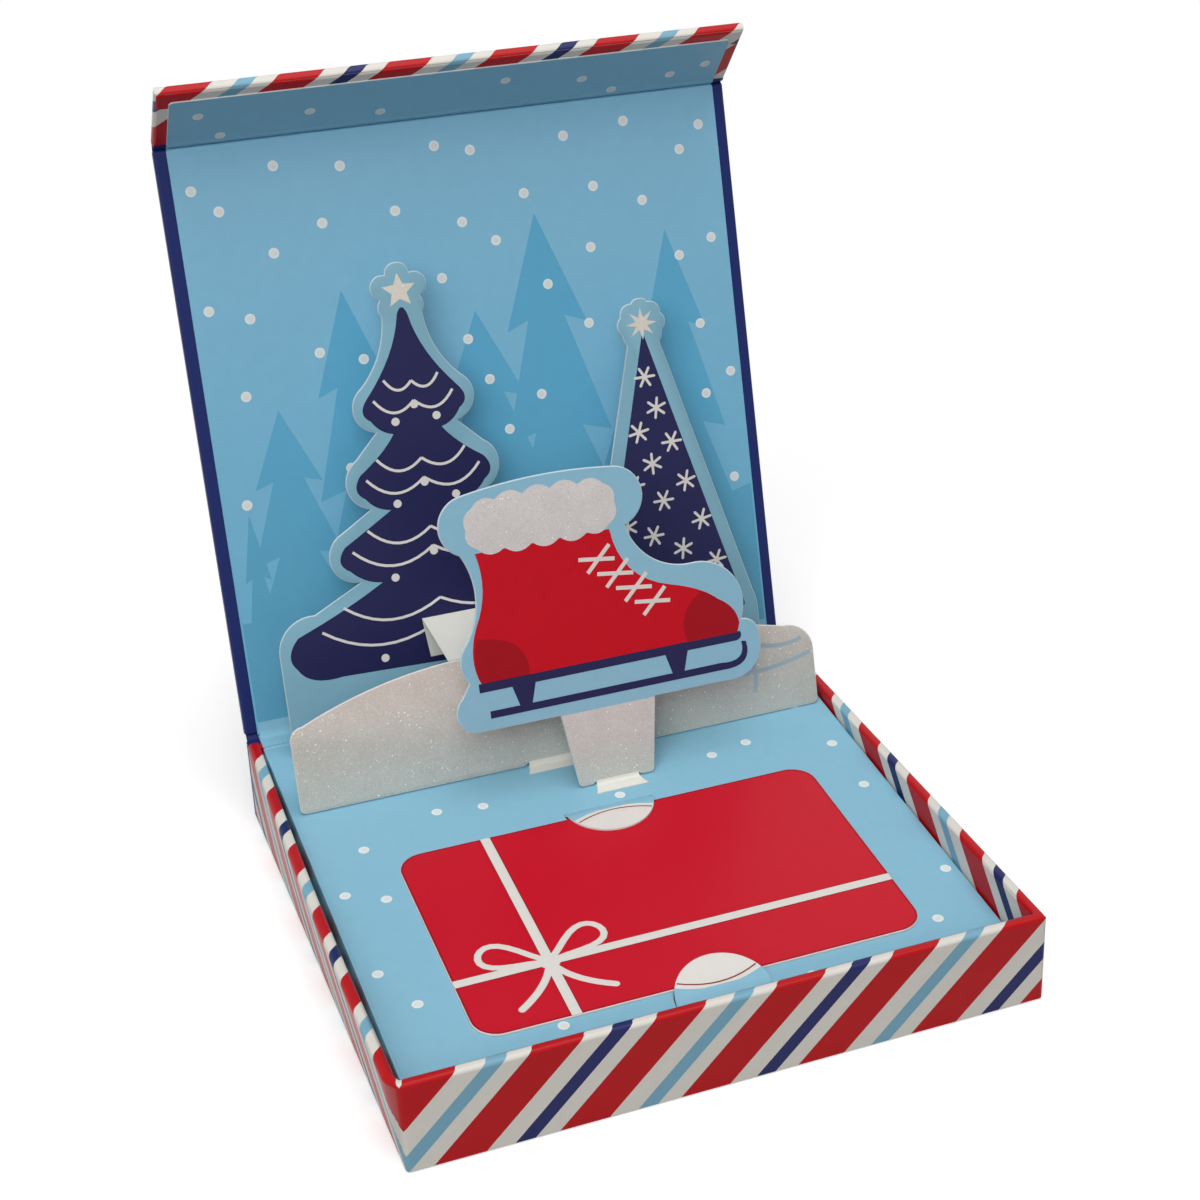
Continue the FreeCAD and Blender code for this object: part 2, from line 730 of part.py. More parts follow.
TREE_STRAPS = (("left", "left_tree_strap_x"), ("right", "right_tree_strap_x"))


def glue_tab(label, frame, left, wide, height, way, out):
    """A tab of strap paper that runs up or down a panel from the crease of a strap."""
    far = f"{way} * glue_tab"
    corners = [("0", "0"), (wide, "0"), (f"{wide} - glue_tab_inset", far), ("glue_tab_inset", far)]
    return die_cut(label, frame, "strap_paper", left, height, out, corners)


def make_strap(label, front, rear, left, wide, height, slack):
    """A strap from the back of one panel to the panel behind it.

    It keeps its direction while both panels turn. The slack takes it clear of the rear
    panel's face by the same amount when the lid is open and when it is shut.
    """
    back = f"({rear[0]} - {front[0]} - {slack} * tan(lid_open_angle / 2 * 1deg))"
    up = f"({rear[1]} - {front[1]} - {slack})"
    frame = (*point_in(front, height, "-panel_pivot"), f"(atan({up} / {back}) / 1deg)")
    length = f"sqrt({back} * {back} + {up} * {up})"
    return block(label, frame, (left, f"{left} + {wide}"), ("0", length),
                 ("-strap_paper / 2", "strap_paper / 2"))


def make_straps():
    tree = group("tree_straps", *[
        make_strap(f"{side}_tree_strap", TREE, LID, x, "tree_strap_width",
                   "tree_strap_height", "lid_slack")
        for side, x in TREE_STRAPS
    ])
    lid_tabs = group("lid_strap_tabs", *[
        glue_tab(f"{side}_lid_tab", LID, x, "tree_strap_width",
                 "tree_strap_height - lid_tab_drop", -1, "0")
        for side, x in TREE_STRAPS
    ])
    hill = make_strap("hill_strap", HILL, TREE, "hill_strap_x", "hill_strap_width",
                      "hill_height", "panel_slack")
    skate = make_strap("skate_strap", SKATE, HILL, "skate_strap_x", "skate_strap_width",
                       "skate_strap_height", "panel_slack")
    return [tree, lid_tabs, hill, skate]


def make_floor_tab(layer):
    """The glue tab of a layer on the platform, in front of its crease, with hollow ends."""
    wide, deep = f"{layer}_tab_width", f"{layer}_tab_depth"
    hollow = f"{HOLLOW_SHARE} * tab_flare"
    outline = [
        ("-tab_flare", f"-{deep}", f"-({hollow})", f"-{deep} / 2"),
        (f"{wide} + tab_flare", f"-{deep}"),
        (wide, "0", f"{wide} + {hollow}", f"-{deep} / 2"),
        ("0", "0"),
    ]
    return die_cut(f"{layer}_floor_tab", PLATFORM, "strap_paper", f"{layer}_tab_left",
                   f"{layer}_crease_run", "0", outline)


fill_sheet()
nodes = make_tray() + make_spine() + make_platform() + make_card() + make_gutter()
nodes += make_lid() + make_flap() + make_tree() + make_hill() + make_skate() + make_straps()
nodes += [make_floor_tab(layer) for layer in ("tree", "hill", "skate")]
doc.recompute()

for thing in doc.Objects:
    if "Invalid" in thing.State or "Error" in thing.State:
        raise RuntimeError(f"{thing.Label} did not recompute: {thing.State}")
for node in nodes:
    if node.Shape.isNull() or not node.Shape.isValid() or not node.Shape.Solids:
        raise RuntimeError(f"{node.Label} has no valid solid")

os.makedirs("parts", exist_ok=True)
for node in nodes:
    node.Shape.exportStep(f"parts/{node.Label}.step")
print(len(nodes), "nodes,", sum(len(node.Shape.Solids) for node in nodes), "solids")
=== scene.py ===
# %% [markdown]
# # A gift card holder with a pop-up winter scene
#
# A shallow tray of wrapped board, a lid on a paper hinge, and a flap on the lid's front edge.
# Inside, a printed sheet holds a card under two half-moon tabs.
# Behind the card three die-cut layers stand up: a skate boot, a snowy hill and two trees.
# The boards and papers come from the CAD model. The printing, the rounded folds and the paper
# that bends at each hinge are made here, in the same frame and in metres.

import json
import math

import bpy
from mathutils import Matrix, Vector

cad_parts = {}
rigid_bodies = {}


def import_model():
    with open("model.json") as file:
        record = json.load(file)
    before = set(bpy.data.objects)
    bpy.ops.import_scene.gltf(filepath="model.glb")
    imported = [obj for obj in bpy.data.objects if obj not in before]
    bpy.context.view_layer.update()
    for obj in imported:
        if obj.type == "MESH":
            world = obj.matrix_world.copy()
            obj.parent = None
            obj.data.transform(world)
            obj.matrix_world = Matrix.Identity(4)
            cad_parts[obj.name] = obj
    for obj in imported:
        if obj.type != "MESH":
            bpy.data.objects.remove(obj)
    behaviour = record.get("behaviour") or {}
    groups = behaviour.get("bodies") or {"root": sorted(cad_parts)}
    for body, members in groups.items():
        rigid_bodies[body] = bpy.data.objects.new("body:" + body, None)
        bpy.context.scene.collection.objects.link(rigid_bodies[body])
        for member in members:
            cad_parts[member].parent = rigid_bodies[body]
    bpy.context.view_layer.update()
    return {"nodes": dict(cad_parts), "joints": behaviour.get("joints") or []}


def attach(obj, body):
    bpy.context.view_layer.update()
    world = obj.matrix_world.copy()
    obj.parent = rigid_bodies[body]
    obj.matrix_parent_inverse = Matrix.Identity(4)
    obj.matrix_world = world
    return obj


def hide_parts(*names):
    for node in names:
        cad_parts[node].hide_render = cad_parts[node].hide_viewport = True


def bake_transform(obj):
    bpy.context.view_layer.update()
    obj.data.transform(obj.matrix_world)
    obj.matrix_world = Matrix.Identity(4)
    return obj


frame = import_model()
bpy.ops.object.select_all(action="DESELECT")
NODES = frame["nodes"]
JOINTS = {joint["name"]: joint for joint in frame["joints"]}

# %% [markdown]
# Every printed sheet is laid out flat first, x across and s up the sheet, in millimetres.
# A place is the matrix that stands the sheet up: its third axis points out of the printed face.
# The lid and the three layers all lean back by the same angle, because straps tie them together.

# %% Places of the sheets
MM = 0.001
WORLD = Matrix.Identity(4)
LEAN = math.radians(180 - JOINTS["lid_hinge"]["range_deg"][1])
FLAP_LEAN = LEAN - math.radians(JOINTS["flap_hinge"]["range_deg"][0])
PLATFORM_SLOPE = math.radians(4.15)
PLATFORM_HALF, PLATFORM_LOW = 56.85, 9.399


def place_at(y, z, lean):
    """The place of a sheet whose foot is at (y, z) and which is turned up by an angle."""
    c, s = math.cos(lean), math.sin(lean)
    return Matrix(((1, 0, 0, 0), (0, c, -s, y), (0, s, c, z), (0, 0, 0, 1)))


def place_on(joint, lean):
    _, y, z = JOINTS[joint]["pos_m"]
    return place_at(y, z, lean)


LID = place_on("lid_hinge", LEAN)
FLAP = place_on("flap_hinge", FLAP_LEAN)
TREES = place_on("tree_fold", LEAN)
HILL = place_on("hill_fold", LEAN)
SKATE = place_on("skate_fold", LEAN)
PLATFORM = place_at(-PLATFORM_HALF * MM, PLATFORM_LOW * MM, PLATFORM_SLOPE)
print("the layers lean", round(math.degrees(LEAN), 1), "and the flap", round(math.degrees(FLAP_LEAN), 1))

# %% [markdown]
# The photograph looks down into the open tray from the front left with a longish lens.
# The camera is put where the box edges and the standard card in the photo say it was.

# %% Camera
CAMERA_AZIMUTH, CAMERA_ELEVATION, CAMERA_ROLL = (math.radians(a) for a in (-21.18, 25.87, -1.29))
CAMERA_SPOT = (-0.11898, -0.34699, 0.25277)
back = Vector((
    math.sin(CAMERA_AZIMUTH) * math.cos(CAMERA_ELEVATION),
    -math.cos(CAMERA_AZIMUTH) * math.cos(CAMERA_ELEVATION),
    math.sin(CAMERA_ELEVATION),
))
across = Vector((0, 0, 1)).cross(back).normalized()
upward = back.cross(across)
right = math.cos(CAMERA_ROLL) * across + math.sin(CAMERA_ROLL) * upward
top = back.cross(right)

bpy.ops.object.camera_add(location=CAMERA_SPOT)
camera = bpy.context.object
camera.name = "camera"
camera.rotation_euler = Matrix((right, top, back)).transposed().to_euler()
camera.data.sensor_width = 36
camera.data.lens = 67.74
camera.data.shift_x = -0.0733
camera.data.shift_y = -0.0397
camera.data.clip_start = 0.01
bpy.context.scene.camera = camera
bpy.context.scene.view_settings.view_transform = "Standard"
print("camera at", [round(v, 3) for v in camera.location])

# %% [markdown]
# A plain pale floor carries the object's shadow and fades into a white background.
# The room around it gives a weak even light, and only its picture is bright white.

# %% Floor and room
SKY_LIGHT = 0.17
bpy.ops.mesh.primitive_plane_add(size=4)
floor = bpy.context.object
floor.name = "floor"

world = bpy.data.worlds.new("room")
bpy.context.scene.world = world
world.use_nodes = True
room = world.node_tree
sky = room.nodes["Background"]
sky.inputs["Color"].default_value = (1.0, 1.0, 1.0, 1)
sky.inputs["Strength"].default_value = SKY_LIGHT
backdrop = room.nodes.new("ShaderNodeBackground")
backdrop.inputs["Color"].default_value = (1.0, 1.0, 1.0, 1)


def shows_background(tree):
    """1 for a ray from the camera, from a shiny face or through something clear, else 0."""
    path = tree.nodes.new("ShaderNodeLightPath")
    total = path.outputs["Is Camera Ray"]
    for other in ("Is Glossy Ray", "Is Transmission Ray"):
        either = tree.nodes.new("ShaderNodeMath")
        either.operation = "MAXIMUM"
        tree.links.new(total, either.inputs[0])
        tree.links.new(path.outputs[other], either.inputs[1])
        total = either.outputs[0]
    return total


choice = room.nodes.new("ShaderNodeMixShader")
room.links.new(shows_background(room), choice.inputs["Fac"])
room.links.new(sky.outputs["Background"], choice.inputs[1])
room.links.new(backdrop.outputs["Background"], choice.inputs[2])
room.links.new(choice.outputs["Shader"], room.nodes["World Output"].inputs["Surface"])
print("floor and a room with a light of", SKY_LIGHT)

# %% [markdown]
# One wide lamp in front on the left and one overhead give the soft light of a product shot,
# so level sheets are lighter than standing ones, and the overhanging flap is in shade.

# %% Lamps
def add_lamp(name, spot, target, size, power):
    bpy.ops.object.light_add(type="AREA", location=spot)
    lamp = bpy.context.object
    lamp.name = name
    lamp.data.shape = "DISK"
    lamp.data.size = size
    lamp.data.energy = power
    lamp.rotation_euler = (Vector(target) - Vector(spot)).to_track_quat("-Z", "Y").to_euler()


add_lamp("overhead_lamp", spot=(0.1, -0.1, 1.15), target=(0, 0, 0.03), size=0.9, power=6.8)
add_lamp("front_lamp", spot=(-0.58, -0.93, 0.9), target=(0, 0, 0.06), size=1.2, power=12.9)
print("two lamps")

# %% [markdown]
# All the surfaces are printed paper with little sheen, so one set of tools makes their shaders.
# Colours are written as they look on screen and turned into the linear values that shaders use.

# %% Inks and shader nodes
SHEEN, VARNISH_ROUGHNESS = 0.15, 0.3


def ink(red, green, blue):
    def linear(value):
        share = value / 255
        return share / 12.92 if share <= 0.04045 else ((share + 0.055) / 1.055) ** 2.4

    return (linear(red), linear(green), linear(blue), 1.0)


def add_node(tree, kind, **settings):
    node = tree.nodes.new("ShaderNode" + kind)
    for key, value in settings.items():
        setattr(node, key, value)
    return node


def start_material(name, roughness, varnish=0.0):
    material = bpy.data.materials.new(name)
    material.use_nodes = True
    shader = material.node_tree.nodes["Principled BSDF"]
    shader.inputs["Roughness"].default_value = roughness
    shader.inputs["Specular IOR Level"].default_value = SHEEN
    shader.inputs["Coat Weight"].default_value = varnish
    shader.inputs["Coat Roughness"].default_value = VARNISH_ROUGHNESS
    return material, material.node_tree, shader


def feed(tree, values, sockets):
    """Gives each socket its value: a constant, or the output of a node."""
    for value, socket in zip(values, sockets):
        if isinstance(value, (float, int, tuple)):
            socket.default_value = value
        else:
            tree.links.new(value, socket)


def mix(tree, factor, first, second, blend="MIX"):
    node = add_node(tree, "Mix", data_type="RGBA", blend_type=blend)
    feed(tree, (factor, first, second), (node.inputs[0], node.inputs[6], node.inputs[7]))
    return node.outputs[2]


def math_node(tree, operation, first, second=0.0):
    node = add_node(tree, "Math", operation=operation)
    feed(tree, (first, second), node.inputs)
    return node.outputs[0]


def noise(tree, scale, detail):
    spot = add_node(tree, "TexCoord")
    node = add_node(tree, "TexNoise")
    node.inputs["Scale"].default_value = scale
    node.inputs["Detail"].default_value = detail
    tree.links.new(spot.outputs["Object"], node.inputs["Vector"])
    return node.outputs["Fac"]


print("tools for shaders ready")

# %% [markdown]
# One recipe serves all plain papers: the ink lies a little unevenly, the fibres show as a faint
# relief, and a thin varnish shines.

# %% Plain paper
FELT_SCALE, FELT_DEPTH = 5200.0, 0.00004
SWELL_SCALE, SWELL_DEPTH = 22.0, 0.002


def uneven(tree, colour, spread=0.12, scale=420.0):
    """The ink lies a little thicker in some places than in others."""
    shade = add_node(tree, "ValToRGB")
    shade.color_ramp.elements[0].position = 0.3
    shade.color_ramp.elements[0].color = (0.72, 0.72, 0.74, 1)
    shade.color_ramp.elements[1].position = 0.7
    shade.color_ramp.elements[1].color = (1.0, 1.0, 1.0, 1)
    tree.links.new(noise(tree, scale, 5.0), shade.inputs["Fac"])
    return mix(tree, spread, colour, shade.outputs["Color"], "MULTIPLY")


def relief(tree, height, strength, depth, under=None):
    """A fine relief, which may lie on a coarser one."""
    node = add_node(tree, "Bump")
    node.inputs["Strength"].default_value = strength
    node.inputs["Distance"].default_value = depth
    tree.links.new(height, node.inputs["Height"])
    if under is not None:
        tree.links.new(under, node.inputs["Normal"])
    return node.outputs["Normal"]


def fibres(tree, shader, waves=0.0):
    """Paper fibres under the print. A large sheet also swells a little."""
    swell = relief(tree, noise(tree, SWELL_SCALE, 1.0), waves, SWELL_DEPTH) if waves else None
    felt = relief(tree, noise(tree, FELT_SCALE, 4.0), 0.12, FELT_DEPTH, swell)
    tree.links.new(felt, shader.inputs["Normal"])


def plain_paper(name, colour, roughness=0.42, varnish=0.05, spread=0.12, scale=420.0):
    material, tree, shader = start_material(name, roughness, varnish)
    tree.links.new(uneven(tree, colour, spread, scale), shader.inputs["Base Color"])
    fibres(tree, shader)
    return material


print("plain paper ready")

# %% [markdown]
# Most papers are printed on one side only, and their cut edges and backs stay white.
# The direction in which the face points tells the shader which side it is on.

# %% Paper printed on one side
WHITE = ink(228, 226, 221)
FLAT_FROM, TURNED_FROM = 0.96, 0.3


def on_white_core(tree, place, face, rolled, flat_from=FLAT_FROM):
    """The printed face, the white core at cut edges, and a mixture where an edge is rolled over."""
    spot = add_node(tree, "TexCoord")
    facing = add_node(tree, "VectorMath", operation="DOT_PRODUCT")
    facing.inputs[1].default_value = place.col[2][:3]
    tree.links.new(spot.outputs["Normal"], facing.inputs[0])
    flat = math_node(tree, "GREATER_THAN", facing.outputs["Value"], flat_from)
    turned = math_node(tree, "GREATER_THAN", facing.outputs["Value"], TURNED_FROM)
    core = uneven(tree, WHITE, 0.2, 900.0)
    edge = mix(tree, math_node(tree, "MULTIPLY", turned, 1 - rolled), core, face)
    return mix(tree, flat, edge, face)


def one_sided(
    name, colour, place, roughness=0.42, varnish=0.05, spread=0.12, scale=420.0, rolled=0.5, flat_from=FLAT_FROM
):
    """Paper whose printed face looks along the third axis of its place."""
    material, tree, shader = start_material(name, roughness, varnish)
    face = uneven(tree, colour, spread, scale)
    tree.links.new(on_white_core(tree, place, face, rolled, flat_from), shader.inputs["Base Color"])
    fibres(tree, shader, waves=0.25)
    return material


print("one-sided paper ready")

# %% [markdown]
# The ink of the liner and of the snow changes slowly from the foot of the sheet to its head.
# Snow is also dusted with glitter: tiny cells, of which some are painted a little darker, more are painted
# paler as faint glints, and very few pure white as painted glints that flash.

# %% Fading ink and glitter
FLAKE_SCALE, FLAKE_DEPTH = 5000.0, 0.00008
# Each row gives a channel of a cell's random colour, a threshold, a share and a colour. The grey row paints a
# few cells darker, and the pale and pure white rows are painted glints.
GLINTS = (
    ("Green", 0.92, 0.2, ink(128, 124, 122)),
    ("Blue", 0.93, 0.3, ink(240, 240, 238)),
    ("Red", 0.9965, 1.0, ink(255, 255, 255)),
)


def run_up(tree, place, low, high, low_colour, high_colour):
    """A colour that runs from one ink low on a sheet to another high on it."""
    spot = add_node(tree, "TexCoord")
    turn = add_node(tree, "Mapping", vector_type="POINT")
    flat = place.inverted()
    turn.inputs["Location"].default_value = flat.to_translation()
    turn.inputs["Rotation"].default_value = flat.to_euler()
    tree.links.new(spot.outputs["Object"], turn.inputs["Vector"])
    parts = add_node(tree, "SeparateXYZ")
    tree.links.new(turn.outputs["Vector"], parts.inputs["Vector"])
    run = add_node(tree, "MapRange")
    run.inputs["From Min"].default_value = low * MM
    run.inputs["From Max"].default_value = high * MM
    tree.links.new(parts.outputs["Y"], run.inputs["Value"])
    return mix(tree, run.outputs["Result"], low_colour, high_colour)


def faded(name, low_colour, high_colour, place, low, high):
    material, tree, shader = start_material(name, 0.42, 0.05)
    colour = run_up(tree, place, low, high, low_colour, high_colour)
    tree.links.new(uneven(tree, colour), shader.inputs["Base Color"])
    fibres(tree, shader, waves=0.3)
    return material


def glitter(name, low_colour, high_colour, place, low, high):
    material, tree, shader = start_material(name, 0.38)
    surface = uneven(tree, run_up(tree, place, low, high, low_colour, high_colour), 0.25, 260.0)
    spot = add_node(tree, "TexCoord")
    flakes = add_node(tree, "TexVoronoi", feature="F1")
    flakes.inputs["Scale"].default_value = FLAKE_SCALE
    tree.links.new(spot.outputs["Object"], flakes.inputs["Vector"])
    parts = add_node(tree, "SeparateColor")
    tree.links.new(flakes.outputs["Color"], parts.inputs["Color"])
    # Painted glints: chosen cells of the snow colour are mixed towards grey, pale white or pure white.
    for channel, above, strength, colour in GLINTS:
        chosen = math_node(tree, "GREATER_THAN", parts.outputs[channel], above)
        surface = mix(tree, math_node(tree, "MULTIPLY", chosen, strength), surface, colour)
    tree.links.new(on_white_core(tree, place, surface, 0.6), shader.inputs["Base Color"])
    grain = relief(tree, flakes.outputs["Distance"], 0.2, FLAKE_DEPTH)
    tree.links.new(grain, shader.inputs["Normal"])
    return material


print(len(GLINTS), "kinds of glint")

# %% [markdown]
# The stock of papers and inks. Boards are rough and grey, the card is the glossiest sheet,
# and the folded sides of the inner sheet are printed like its face.

# %% Stock of papers
BLUE = ink(133, 184, 206)
SKY = ink(133, 187, 214)
NAVY = ink(27, 40, 98)
SNOW_LOW, SNOW_HIGH = ink(191, 194, 187), ink(201, 190, 181)
STAR = ink(222, 214, 202)

board_stock = plain_paper("grey_board", ink(150, 146, 138), 0.8, 0.0, 0.4, 700.0)
navy_paper = plain_paper("navy_paper", NAVY, 0.45, 0.05, 0.2)
blue_paper = one_sided("blue_paper", BLUE, PLATFORM, flat_from=-0.2)
tab_paper = one_sided("tab_paper", BLUE, PLATFORM, flat_from=0.8)
gutter_paper = plain_paper("gutter_paper", BLUE)
crease_paper = plain_paper("crease_paper", SKY)
liner_paper = faded("liner_paper", ink(112, 178, 208), SKY, LID, 20, 110)
flap_liner_paper = one_sided("flap_liner_paper", SKY, FLAP)
fir_ink = faded("fir_ink", ink(93, 160, 189), ink(94, 168, 203), LID, 10, 60)
dot_ink = plain_paper("dot_ink", ink(226, 231, 232), 0.45, 0.0, 0.18, 1500.0)
pearl_ink = plain_paper("pearl_ink", ink(218, 223, 220), 0.35, 0.0, 0.2, 2400.0)
halo_paper = one_sided("halo_paper", ink(128, 173, 191), TREES)
navy_ink = plain_paper("navy_ink", ink(34, 35, 77), 0.45, 0.05, 0.2)
white_ink = plain_paper("white_ink", ink(219, 215, 209), 0.45, 0.05)
red_ink = plain_paper("red_ink", ink(193, 12, 31), 0.4, 0.05, 0.18)
deep_red_ink = plain_paper("deep_red_ink", ink(158, 10, 26), 0.4, 0.05, 0.18)
line_ink = plain_paper("line_ink", ink(132, 48, 44), 0.45, 0.05)
hill_snow = glitter("hill_snow", SNOW_LOW, SNOW_HIGH, HILL, 4, 22)
stem_snow = glitter("stem_snow", SNOW_LOW, ink(206, 203, 199), SKATE, 0, 14)
star_snow = glitter("star_snow", STAR, STAR, TREES, 70, 95)
cuff_snow = glitter("cuff_snow", ink(206, 203, 201), ink(216, 213, 210), SKATE, 48, 62)
skate_line_ink = plain_paper("skate_line_ink", ink(160, 178, 188), 0.45, 0.0, 0.2)
strap_paper = plain_paper("strap_paper", ink(222, 221, 212), 0.5, 0.05)
card_face = one_sided("card_face", ink(194, 8, 34), PLATFORM, 0.34, 0.1, 0.1, 260.0, rolled=0.85)
card_line_ink = plain_paper("card_line_ink", ink(134, 8, 26), 0.4, 0.1)
boot_halo_paper = one_sided("boot_halo_paper", ink(139, 187, 208), SKATE)
magnet_metal = plain_paper("magnet_metal", ink(140, 140, 142), 0.35, 0.0, 0.3, 900.0)
magnet_metal.node_tree.nodes["Principled BSDF"].inputs["Metallic"].default_value = 1.0
print(len(bpy.data.materials), "materials")

# %% [markdown]
# The floor is pale card near the object and clear further out, where the white background takes over.
# It looks bright, but the light that it throws back on the object is weaker, as from a larger room.

# %% Floor card
FLOOR_GLOW, FLOOR_THROWS = 0.28, (0.25, 0.25, 0.25, 1)
FADE_FROM, FADE_TO = 0.12, 0.26


def make_floor():
    material, tree, shader = start_material("floor_paper", 0.9)
    seen = shows_background(tree)
    pale = uneven(tree, (0.96, 0.96, 0.96, 1), 0.02, 6.0)
    tree.links.new(mix(tree, seen, FLOOR_THROWS, pale), shader.inputs["Base Color"])
    shader.inputs["Emission Color"].default_value = (1.0, 1.0, 1.0, 1)
    tree.links.new(math_node(tree, "MULTIPLY", seen, FLOOR_GLOW), shader.inputs["Emission Strength"])
    spot = add_node(tree, "TexCoord")
    reach = add_node(tree, "VectorMath", operation="LENGTH")
    tree.links.new(spot.outputs["Object"], reach.inputs[0])
    fade = add_node(tree, "MapRange", interpolation_type="SMOOTHSTEP")
    fade.inputs["From Min"].default_value = FADE_FROM
    fade.inputs["From Max"].default_value = FADE_TO
    tree.links.new(reach.outputs["Value"], fade.inputs["Value"])
    clear = add_node(tree, "BsdfTransparent")
    both = add_node(tree, "MixShader")
    tree.links.new(fade.outputs["Result"], both.inputs["Fac"])
    tree.links.new(shader.outputs["BSDF"], both.inputs[1])
    tree.links.new(clear.outputs["BSDF"], both.inputs[2])
    tree.links.new(both.outputs["Shader"], tree.nodes["Material Output"].inputs["Surface"])
    return material


floor.data.materials.append(make_floor())
print("the floor fades out between", FADE_FROM, "and", FADE_TO, "m")

# %% [markdown]
# Striped gift wrap is one sheet with diagonal bands: red, white, navy, white, red, white, blue, white.
# Each face carries its place on the flat sheet as a UV map, so the bands run unbroken round the folds.
# A ramp with hard steps repeats along the diagonal of that map.

# %% Striped paper
BAND_WIDTHS = (
    ("red", 8.9), ("white", 5.1), ("navy", 3.5), ("white", 4.4),
    ("red", 8.8), ("white", 5.2), ("blue", 3.6), ("white", 4.3),
)
BAND_INKS = {
    "red": ink(180, 12, 20), "white": ink(218, 214, 206),
    "navy": ink(30, 36, 90), "blue": ink(120, 168, 190),
}
REPEAT = sum(width for _, width in BAND_WIDTHS)
BAND_START = -55.1


def make_stripes():
    material, tree, shader = start_material("striped_paper", 0.4, 0.06)
    sheet = add_node(tree, "UVMap", uv_map="sheet")
    parts = add_node(tree, "SeparateXYZ")
    tree.links.new(sheet.outputs["UV"], parts.inputs["Vector"])
    diagonal = math_node(tree, "ADD", parts.outputs["X"], parts.outputs["Y"])
    turns = math_node(tree, "DIVIDE", math_node(tree, "SUBTRACT", diagonal, BAND_START * MM), REPEAT * MM)
    bands = add_node(tree, "ValToRGB")
    bands.color_ramp.interpolation = "CONSTANT"
    tree.links.new(math_node(tree, "FRACT", turns), bands.inputs["Fac"])
    edge = 0.0
    for index, (colour, width) in enumerate(BAND_WIDTHS):
        steps = bands.color_ramp.elements
        step = steps[index] if index < 2 else steps.new(edge / REPEAT)
        step.position = edge / REPEAT
        step.color = BAND_INKS[colour]
        edge += width
    tree.links.new(uneven(tree, bands.outputs["Color"]), shader.inputs["Base Color"])
    fibres(tree, shader)
    return material


striped_paper = make_stripes()
print("stripes repeat every", round(REPEAT, 1), "mm")

# %% [markdown]
# A piece that needs a softer shape than its CAD node starts as a copy of it. The copy's loose
# triangles are joined into whole faces. When it is finished, it stands in for the node.

# %% Dressed copies
def only(*pieces):
    bpy.ops.object.select_all(action="DESELECT")
    for piece in pieces:
        piece.select_set(True)
    bpy.context.view_layer.objects.active = pieces[0]


def dressed_copy(node, name):
    """A copy of a CAD node with whole faces in place of its triangles."""
    only(NODES[node])
    bpy.ops.object.duplicate(linked=False)
    piece = bpy.context.object
    bpy.ops.object.parent_clear(type="CLEAR_KEEP_TRANSFORM")
    for key in list(piece.keys()):
        del piece[key]
    bpy.ops.object.mode_set(mode="EDIT")
    bpy.ops.mesh.select_all(action="SELECT")
    bpy.ops.mesh.remove_doubles(threshold=0.000002)
    bpy.ops.mesh.dissolve_limited(angle_limit=math.radians(1))
    bpy.ops.mesh.normals_make_consistent(inside=False)
    bpy.ops.object.mode_set(mode="OBJECT")
    piece.name = name
    return piece


def finish_piece(piece, name, material, body):
    """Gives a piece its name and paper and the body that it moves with."""
    piece.name = name
    piece.data.name = name
    piece.data.materials.clear()
    piece.data.materials.append(material)
    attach(piece, body)


def stand_in(piece, node, material, body):
    """Finishes a dressed copy, which is then shown in place of its CAD node."""
    finish_piece(piece, piece.name, material, body)
    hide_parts(node)


print("tools for dressed copies ready")

# %% [markdown]
# The edges to be rounded are chosen by where their two ends lie.
# After that only the folds should look round, so the large faces keep an even light.

# %% Rounded edges
ROUND_FROM, SMOOTH_FROM = math.radians(20), math.radians(35)
NEAR = 0.02


def near(a, b):
    return abs(a - b) < NEAR


def round_edges(piece, place, wanted, width, segments=4):
    """Rounds the edges that aren't flat and whose two ends, in the frame of a place, pass a test."""
    only(piece)
    beside = {}
    for face in piece.data.polygons:
        for key in face.edge_keys:
            beside.setdefault(key, []).append(face.normal.copy())
    bpy.ops.object.mode_set(mode="EDIT")
    bpy.ops.mesh.select_mode(type="EDGE")
    bpy.ops.mesh.select_all(action="DESELECT")
    bpy.ops.object.mode_set(mode="OBJECT")
    flat = place.inverted()
    points = [flat @ vertex.co / MM for vertex in piece.data.vertices]
    chosen = 0
    for edge in piece.data.edges:
        faces = beside[tuple(sorted(edge.vertices))]
        bent = len(faces) == 2 and faces[0].angle(faces[1]) > ROUND_FROM
        edge.select = bent and wanted(*(points[index] for index in edge.vertices))
        chosen += edge.select
    bpy.ops.object.mode_set(mode="EDIT")
    bpy.ops.mesh.bevel(offset=width * MM, segments=segments, clamp_overlap=False)
    bpy.ops.mesh.select_mode(type="VERT")
    bpy.ops.object.mode_set(mode="OBJECT")
    only(piece)
    bpy.ops.object.shade_smooth_by_angle(angle=SMOOTH_FROM)
    return chosen


def even_light(piece):
    """Large flat faces keep their own direction, so that only the folds look round."""
    only(piece)
    weigh = piece.modifiers.new("even_light", "WEIGHTED_NORMAL")
    weigh.keep_sharp = True
    bpy.ops.object.modifier_apply(modifier=weigh.name)


print("edges are rounded where faces meet at more than", round(math.degrees(ROUND_FROM)), "degrees")

# %% [markdown]
# Wrapped paper was a flat sheet once. Its faces are cut where its seams or bends are, and a rule
# for each face tells where its points lay on the flat sheet. That goes into the UV map.

# %% Wrapped sheets
def cut_faces(piece, place, x, y, way):
    """Cuts the faces of a piece by an upright plane through a point, as at a seam."""
    only(piece)
    bpy.ops.object.mode_set(mode="EDIT")
    bpy.ops.mesh.select_all(action="SELECT")
    corner = place @ Vector((x * MM, y * MM, 0))
    bpy.ops.mesh.bisect(plane_co=corner, plane_no=place.to_3x3() @ Vector(way).normalized())
    bpy.ops.mesh.select_all(action="SELECT")
    bpy.ops.mesh.remove_doubles(threshold=0.00001)
    bpy.ops.object.mode_set(mode="OBJECT")


